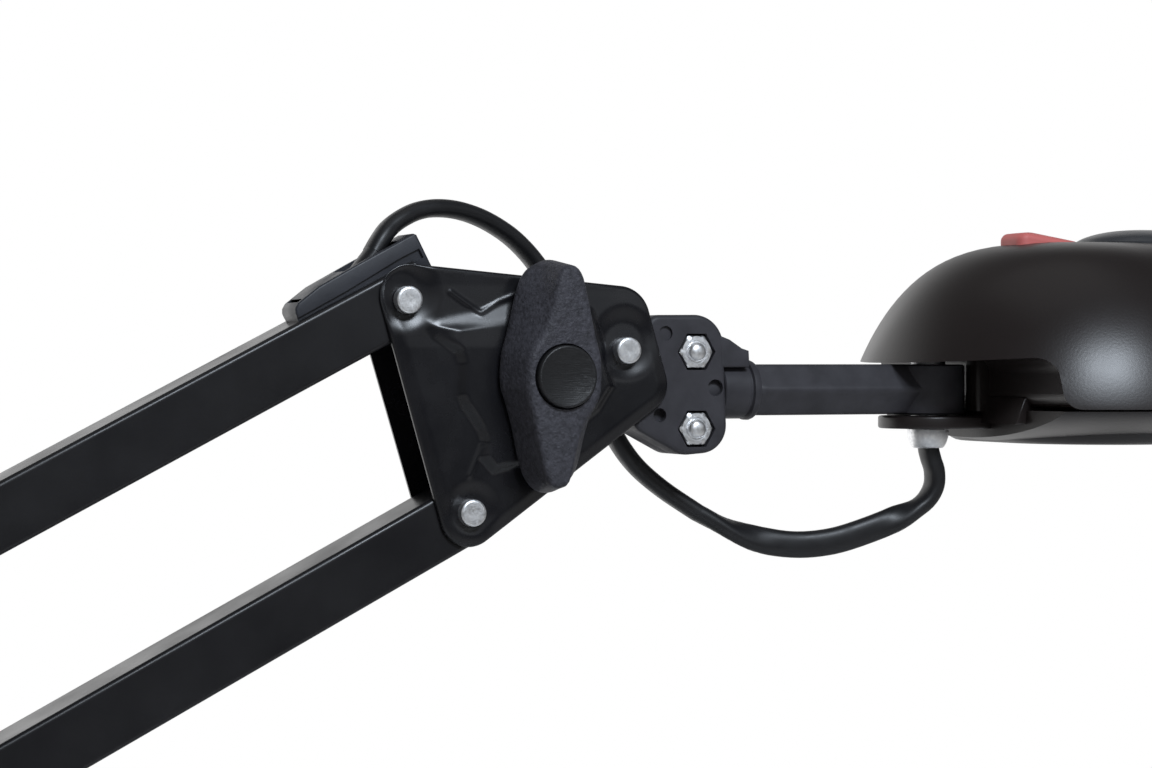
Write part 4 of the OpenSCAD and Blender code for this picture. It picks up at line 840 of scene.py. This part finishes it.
knob(K, 0, "head_knob_wings", "head_knob", ("head_knob",), "head_knob_cap_skin", ("head_knob_cap",))
knob(ELBOW_BOLT, 16, "elbow_knob_wings", "elbow_knob", ("elbow_knob",))
knob(FOOT_BOLT, 86, "foot_knob_wings", "foot_knob", ("foot_knob",))

# ---- knuckle, nuts and tooth ----
def disc_line(r, n=72):
    return [(r * math.cos(2 * math.pi * k / n), r * math.sin(2 * math.pi * k / n)) for k in range(n)]


BOLT_X, BOLT_Z, BOLT_FLATS = K.x + 42.6, 9.65, 8
BLOCK_IN, NECK_OUT, NECK_LOW, NECK_HIGH = 28.4, 31.5, math.radians(-23.5), math.radians(-3)
block_circles = [(29.5, -10.5, 4), (40.2, -13.3, 6.5), (44.2, -12.5, 7), (42.4, 7.3, 8), (32.5, 11.7, 3.5)]
block_line = []
for x, z in arc_hull(block_circles, 0.6, 0.8):
    r = math.hypot(x, z)
    block_line.append((x, z) if r > BLOCK_IN else (x * BLOCK_IN / r, z * BLOCK_IN / r))
neck_line = split_runs([(8, -2.2), (NECK_OUT * math.cos(NECK_LOW), NECK_OUT * math.sin(NECK_LOW)),
                        (NECK_OUT * math.cos(NECK_HIGH), NECK_OUT * math.sin(NECK_HIGH)), (8, -0.5)], 1)
tooth_line = [(49, 2.1), (57.3, 2.1), (57.5, 2.6), (57.3, 6.3), (55.4, 6.9), (52, 9.1), (49, 10.2)]
for tag, low, high, f_low, f_high in (("front", -7.5, 0, 1.3, 0.08), ("rear", 0, 7.5, 0.08, 1.3)):
    ob = make(f"knuckle_{tag}_block", slab(block_line, low, high, f_low, f_high, 6, at=(K.x, 0, K.z)), "knuckle",
              knuckle_mat, (f"knuckle_{tag}",))
    tools = [lathe((K.x + 30, 0, STEM_Z), X_AXIS, [(6.1, 6), (6.1, 24)], 48)]
    for dz in (-BOLT_Z, BOLT_Z):
        if tag == "front":
            tools.append(lathe((BOLT_X, -3.6, STEM_Z + dz), TO_VIEWER, [(6, 0), (6, 8)], 72, hexagon(9.1)))
        else:
            tools.append(lathe((BOLT_X, 4.4, STEM_Z + dz), Y_AXIS, [(4.7, 0), (4.7, 8)], 48))
    if tag == "front":
        for x, z, r, floor_y in ((34.1, 10.6, 1.85, -6.7), (47.8, -3, 2.1, -4), (32.5, -9.8, 1.75, -5)):
            tools.append(lathe((K.x + x, floor_y, K.z + z), TO_VIEWER, [(r, 0), (r, 6)], 32))
    cut(ob, *tools)
    n_low, n_high = (0.8, 0.06) if tag == "front" else (0.06, 0.8)
    rest = [slab(disc_line(19), low, high, f_low, f_high, 4, at=(K.x, 0, K.z)),
            slab(neck_line, low * 0.92, high * 0.92, n_low, n_high, 3, at=(K.x, 0, K.z))]
    if tag == "front":
        tooth = make("knuckle_tooth", slab(split_runs(tooth_line, 1), -7.4, 0, 0.5, 0.3, 3, at=(K.x, 0, K.z)),
                     "knuckle", knuckle_mat)
        cut(tooth, lathe((K.x + 40, 0, STEM_Z), X_AXIS, [(8.0, 0), (8.0, 30)], 64))
    make(f"knuckle_{tag}_disc", joined(*rest), "knuckle", knuckle_mat)

bolts = []
for dz in (-BOLT_Z, BOLT_Z):
    z = STEM_Z + dz
    bolts.append(lathe((BOLT_X, -3.4, z), TO_VIEWER,
                       [(4.9, 0), (4.9, 3.2), (4.5, 3.7), (3.9, 4.05), (3.0, 4.1), (2.55, 3.7)], 72,
                       hexagon(BOLT_FLATS)))
    bolts.append(lathe((BOLT_X, 4.5, z), TO_VIEWER,
                       [(2.4, 0), (2.4, 12.2), (2.1, 12.9), (1.5, 13.3), (0.8, 13.45), (0.2, 13.5)], 40))
    bolts.append(lathe((BOLT_X, 4.4, z), Y_AXIS, [(4.4, 0), (4.4, 2.2), (4.1, 2.8), (3.2, 3.2), (0.3, 3.3)], 48))
make("knuckle_nuts", joined(*bolts), "knuckle", zinc, ("knuckle_bolts",))

# ---- stem ----
STEM_FLATS = 13
stem = [lathe((K.x, 0, STEM_Z), X_AXIS, [(7.2, 34), (7.2, 36.4)], 48),
        lathe((K.x, 0, STEM_Z), X_AXIS, [(6, 36), (6, 51.5)], 48),
        lathe((K.x, 0, STEM_Z), X_AXIS, [(7.0, 50.9), (7.35, 51.2), (7.35, 58.0), (6.9, 58.3), (6.9, 58.8),
                                         (7.65, 59.1), (7.7, 60.2), (7.4, 60.9), (6.4, 61.4)], 72),
        lathe((K.x, 0, STEM_Z), X_AXIS, [(6.9, 60.4), (7.15, 61.2), (7.3, 63), (7.3, 113)], 96, hexagon(STEM_FLATS)),
        lathe((PIVOT_X, 0, STEM_Z), Z_AXIS, [(9.0, -6.7), (9.5, -6.2), (9.5, 6), (9.0, 6.45)], 72)]
lug = slab([(51.3, -1.4), (60, -1.4), (60, 1.4), (51.3, 1.4)], 6.5, 9.5, 0.1, 0.3, 3)
stem.append(moved(lug, Matrix.Translation((K.x, 0, STEM_Z)) @ Matrix.Rotation(math.radians(-30), 4, "X")))
make("stem_rod", joined(*stem), "stem", knuckle_mat, ("head_stem",))
TONGUE_TOP = STEM_Z - 7.0
TONGUE_LOW = TONGUE_TOP - 3.3
dome = lathe((PIVOT_X, 0, TONGUE_LOW - 5.2), Z_AXIS, [(3.6, 0.3), (3.7, 0), (4.0, 0.15), (4.5, 0.8), (4.9, 1.7),
                                                      (5.25, 2.9), (5.4, 4.1), (5.4, 4.9), (4.5, 5.1), (4.5, 30)], 56)
make("nipple_dome", dome, "stem", zinc, ("pivot_nipple",))

# ---- hoods over the cord slots ----
hood_line = [(-25.7, 7.52), (6.3, 7.52), (6.3, 2.6), (10, 2.6), (10, 12.6), (9.4, 13.2), (-6, 12.95), (-17.5, 12.6),
             (-23.9, 11.4), (-25.1, 10.6), (-25.6, 9.6)]
hood_groove = ((-27, 7), (9, 7), (9, 9.4), (4, 9.5), (-12, 8.6), (-27, 8.3))


def hood(at, angle, length, far, name, body, replaces=()):
    """A cord hood on a tube's far or near end; its lines run along the tube from that end's pivot."""
    turn = 1 if far else -1
    shift = length if far else 0

    def span(x0, x1, *rest):
        x0, x1 = sorted((shift + turn * x0, shift + turn * x1))
        return box(x0, x1, *rest)

    line = [(turn * x, z) for x, z in hood_line][::turn]
    place = Matrix.Translation(at) @ Matrix.Rotation(-angle, 4, "Y")
    ob = make(name, moved(slab(line, -6, 6, 0.55, 0.55, 3, at=(shift, 0, 0)), place), body, hood_mat,
              replaces)
    tools = [span(-23.6, 5.2, -4.5, 4.5, 7.2, 11.7), span(-10, 5.8, -4.3, 4.3, 7, 15)]
    for side in (-1, 1):
        y0, y1 = sorted((side * 5.2, side * 7))
        tools.append(loft([[(shift + turn * x, y, z) for x, z in hood_groove] for y in (y0, y1)]))
    cut(ob, *[moved(tool, place) for tool in tools])
    return ob


hood(ELBOW_UP, UPPER, LENGTH, False, "hood_upper_low", "upper_bar_a", ("upper_hood_low",))
hood(ELBOW_UP, UPPER, LENGTH, True, "hood_upper_high", "upper_bar_a", ("upper_hood_high",))
hood(FOOT_A, LOWER, LENGTH, False, "hood_lower_low", "lower_bar_a", ("lower_hoods",))
hood(FOOT_A, LOWER, LENGTH, True, "hood_lower_high", "lower_bar_a")

# ---- head ----
RECESS_X, RECESS_TOP, RISE = PIVOT_X + 11.2, STEM_Z + 6.55, 1.6
BEYOND, WALL = 12, 2.2


def head_ring(u, z, d=0, sides=128):
    ring = []
    for k in range(sides):
        a = 2 * math.pi * (k + 0.5) / sides
        c, s = math.cos(a), math.sin(a)
        x = REAR_C + (REAR_LEN - d) * u * c if c < 0 else FRONT_C + (FRONT_LEN - d) * u * c
        ring.append((x, (HALF_W - d) * u * s, z))
    return ring


def shell_part(height, sign, power, bulge, d=0.0, levels=30, lift=0.0):
    """Rings from the seam to the top or the underside; power flattens the middle, bulge fills the shoulder."""
    rings = []
    for k in range(levels + 1):
        u = math.cos(math.pi / 2 * min(0.988, k / levels)) ** 0.62
        rings.append(head_ring(u, SEAM + lift + sign * (height - d) * (1 - u ** power) ** (1 / bulge), d))
    return loft(rings)


def recess(x_end, top, low, corner, rise=0.0, flare=0.0):
    """The open space at the head's rear: its roof rises by rise, its foot flares out by flare at the seam."""
    turns = [math.pi / 2 * k / 6 for k in range(7)]
    outline = [(REAR_X - BEYOND, low), (x_end + flare, low)]
    if flare:
        outline += [(x_end + flare - flare * math.sin(a), SEAM + flare - flare * math.cos(a)) for a in turns]
    outline += [(x_end - corner + corner * math.cos(a), top + rise - corner + corner * math.sin(a)) for a in turns]
    outline.append((REAR_X - BEYOND, top - BEYOND * rise / (x_end - REAR_X)))
    return loft([[(x, y, z) for x, z in outline] for y in (-70, 70)])


def rounded_rect(cx, half_x, half_y, r, n=8):
    out = []
    for sx, sy, a0 in ((1, 1, 0), (-1, 1, 90), (-1, -1, 180), (1, -1, 270)):
        for k in range(n + 1):
            a = math.radians(a0 + 90 * k / n)
            out.append((cx + sx * (half_x - r) + r * math.cos(a), sy * (half_y - r) + r * math.sin(a)))
    return out


# Power and bulge of shell_part
DOME, TRAY = (3.6, 1.25), (2, 1.3)
cover = make("head_cover_skin", shell_part(DOME_H, 1, *DOME), "head", shell, ("head_cover",))
cavity = make("cavity", shell_part(DOME_H, 1, *DOME, WALL, 22, -0.05), "head", shell, ride=False)
cut(cavity, recess(RECESS_X + WALL, RECESS_TOP + 4, SEAM - 3, 4))
inner_mesh = ([tuple(v.co / MM) for v in cavity.data.vertices],
              [tuple(p.vertices) for p in cavity.data.polygons])
bpy.data.objects.remove(cavity)
SWITCH_X, DIAL_X, DIAL_R = REAR_X + 51.6, REAR_X + 82.8, 17.5
cut(cover, inner_mesh, recess(RECESS_X, RECESS_TOP, SEAM - 3, 4.2, RISE, 3.8),
    lathe((PIVOT_X, 0, SEAM), Z_AXIS, [(4.6, 0), (4.6, 20)], 40),
    box(SWITCH_X - 11.4, SWITCH_X + 11.4, -7.4, 7.4, DOME_TOP - 10, DOME_TOP + 4),
    lathe((DIAL_X, 0, DOME_TOP - 0.9), Z_AXIS, [(DIAL_R + 0.4, 0), (DIAL_R + 0.4, 5)], 96),
    lathe((DIAL_X, 0, DOME_TOP - 10), Z_AXIS, [(3.1, 0), (3.1, 12)], 32))
post = slab_z(rounded_rect(0, 3.4, 3.2, 1.1, 4), SEAM - 1, RECESS_TOP + RISE, 0.1, 0.1, 2)
make("head_recess_post", moved(post, Matrix.Translation((RECESS_X - 0.25, -9, 0))), "head", shell)

tray = make("head_tray_skin", shell_part(TRAY_H, -1, *TRAY, 0.35, 26, -0.5), "head", shell,
            ("head_tray",))
LIGHT_C = (REAR_C + FRONT_C) / 2 + 4
LIGHT_LOW, TRAY_BELOW = SEAM - 4.6, SEAM - 14
SCREW_X, SCREW_Y = 55, 43


def light_line(out):
    """The light opening's outline, let out on all sides."""
    return rounded_rect(LIGHT_C, 85 + out, 36 + out, 26 + out, 10)


cut(tray, recess(RECESS_X, SEAM + 3, TRAY_BELOW, 0.5),
    slab_z(light_line(0), TRAY_BELOW, SEAM - 4, 0.1, 0.1, 2),
    slab_z(light_line(2), LIGHT_LOW, SEAM + 2, 0.1, 0.1, 2),
    *[lathe((LIGHT_C + sx * SCREW_X, sy * SCREW_Y, TRAY_BELOW), Z_AXIS, [(3.1, 0), (3.1, 11.2)], 32)
      for sx in (-1, 1) for sy in (-1, 1)])
bezel = [[(x, y, SEAM + z) for x, y in light_line(out)] for z, out in (
    (-6, 4.6), (-7.6, 3.3), (-8.7, 1.7), (-9.3, 0.5), (-9.45, -0.3), (-9.4, -1.0), (-9.0, -1.4), (-5, -1.5))]
make("head_bezel", loft(bezel + bezel[:1], start=False, end=False), "head", shell, angle=60)
ramp_line = [(PIVOT_X + 8.2, SEAM - 4), (RECESS_X + 16, SEAM - 4), (RECESS_X + 16, SEAM + 2.7),
             (RECESS_X - 0.4, SEAM + 2.7)]
ramp = slab(ramp_line, -30, 30, 0.5, 0.5, 3)
make("head_recess_ramp", ramp, "head", shell)
tongue = arc_hull([(PIVOT_X, 0, 13.1), (RECESS_X + 6, -6.4, 6.7), (RECESS_X + 6, 6.4, 6.7)], 0.8)
tongue_ob = make("head_tongue", slab_z(tongue, TONGUE_LOW, TONGUE_TOP, 0.6, 0.6, 4), "head", shell)
cut(tongue_ob, lathe((PIVOT_X, 0, TONGUE_LOW - 2), Z_AXIS, [(4.6, 0), (4.6, 10)], 40))

# ---- switch and dial ----
ROCKER_HALF_X, ROCKER_HALF_Y, ROCKER_CORNER, ROCKER_EDGE = 10, 6, 2.6, 1.5
rocker_top = [(-10.5, 1.75), (-8.5, 2.4), (-6.2, 2.62), (-3.4, 2.5), (0, 2.05), (3.6, 1.35), (7.4, 0.5),
              (10.5, -0.4)]


def rocker_z(x, y):
    for (x0, z0), (x1, z1) in zip(rocker_top, rocker_top[1:]):
        if x <= x1:
            return z0 + (z1 - z0) * (x - x0) / (x1 - x0) - 0.3 * (y / ROCKER_HALF_Y) ** 2
    return rocker_top[-1][1]


def rocker_line(d):
    """The rocker's plan, drawn in by d."""
    return rounded_rect(0, ROCKER_HALF_X - d, ROCKER_HALF_Y - d, ROCKER_CORNER - d, 8)


rocker_rings = [[(x, y, -5) for x, y in rocker_line(0)]]
for k in range(7):
    a = math.pi / 2 * k / 6
    d, e = ROCKER_EDGE * (1 - math.cos(a)), ROCKER_EDGE * (1 - math.sin(a))
    rocker_rings.append([(x, y, rocker_z(x, y) - e) for x, y in rocker_line(d)])
for scale in (0.8, 0.6, 0.4, 0.2, 0.03):
    flat_ring = [(x * scale, y * scale) for x, y in rocker_line(ROCKER_EDGE)]
    rocker_rings.append([(x, y, rocker_z(x, y)) for x, y in flat_ring])
make("rocker_cap", moved(loft(rocker_rings), Matrix.Translation((SWITCH_X, 0, DOME_TOP))), "rocker", red,
     ("switch_rocker",), angle=40)
pins = lathe((SWITCH_X, -6.8, DOME_TOP - 2.6), Y_AXIS, [(1.2, 0), (1.2, 13.6)], 24)
make("rocker_pins", pins, "rocker", red)
dial_profile = [(3, -8), (3, 0.0), (DIAL_R - 0.6, 0.0), (DIAL_R, 0.3), (DIAL_R, 0.9)]
for k in range(1, 17):
    r = DIAL_R * (1 - k / 16.5)
    dial_profile.append((max(0.3, r), 0.9 + 3.7 * (1 - (r / DIAL_R) ** 2.3) ** 0.72))
make("dial_dome", lathe((DIAL_X, 0, DOME_TOP - 0.7), Z_AXIS, dial_profile, 96), "dial", dial_mat,
     ("dimmer_dial",), angle=30)
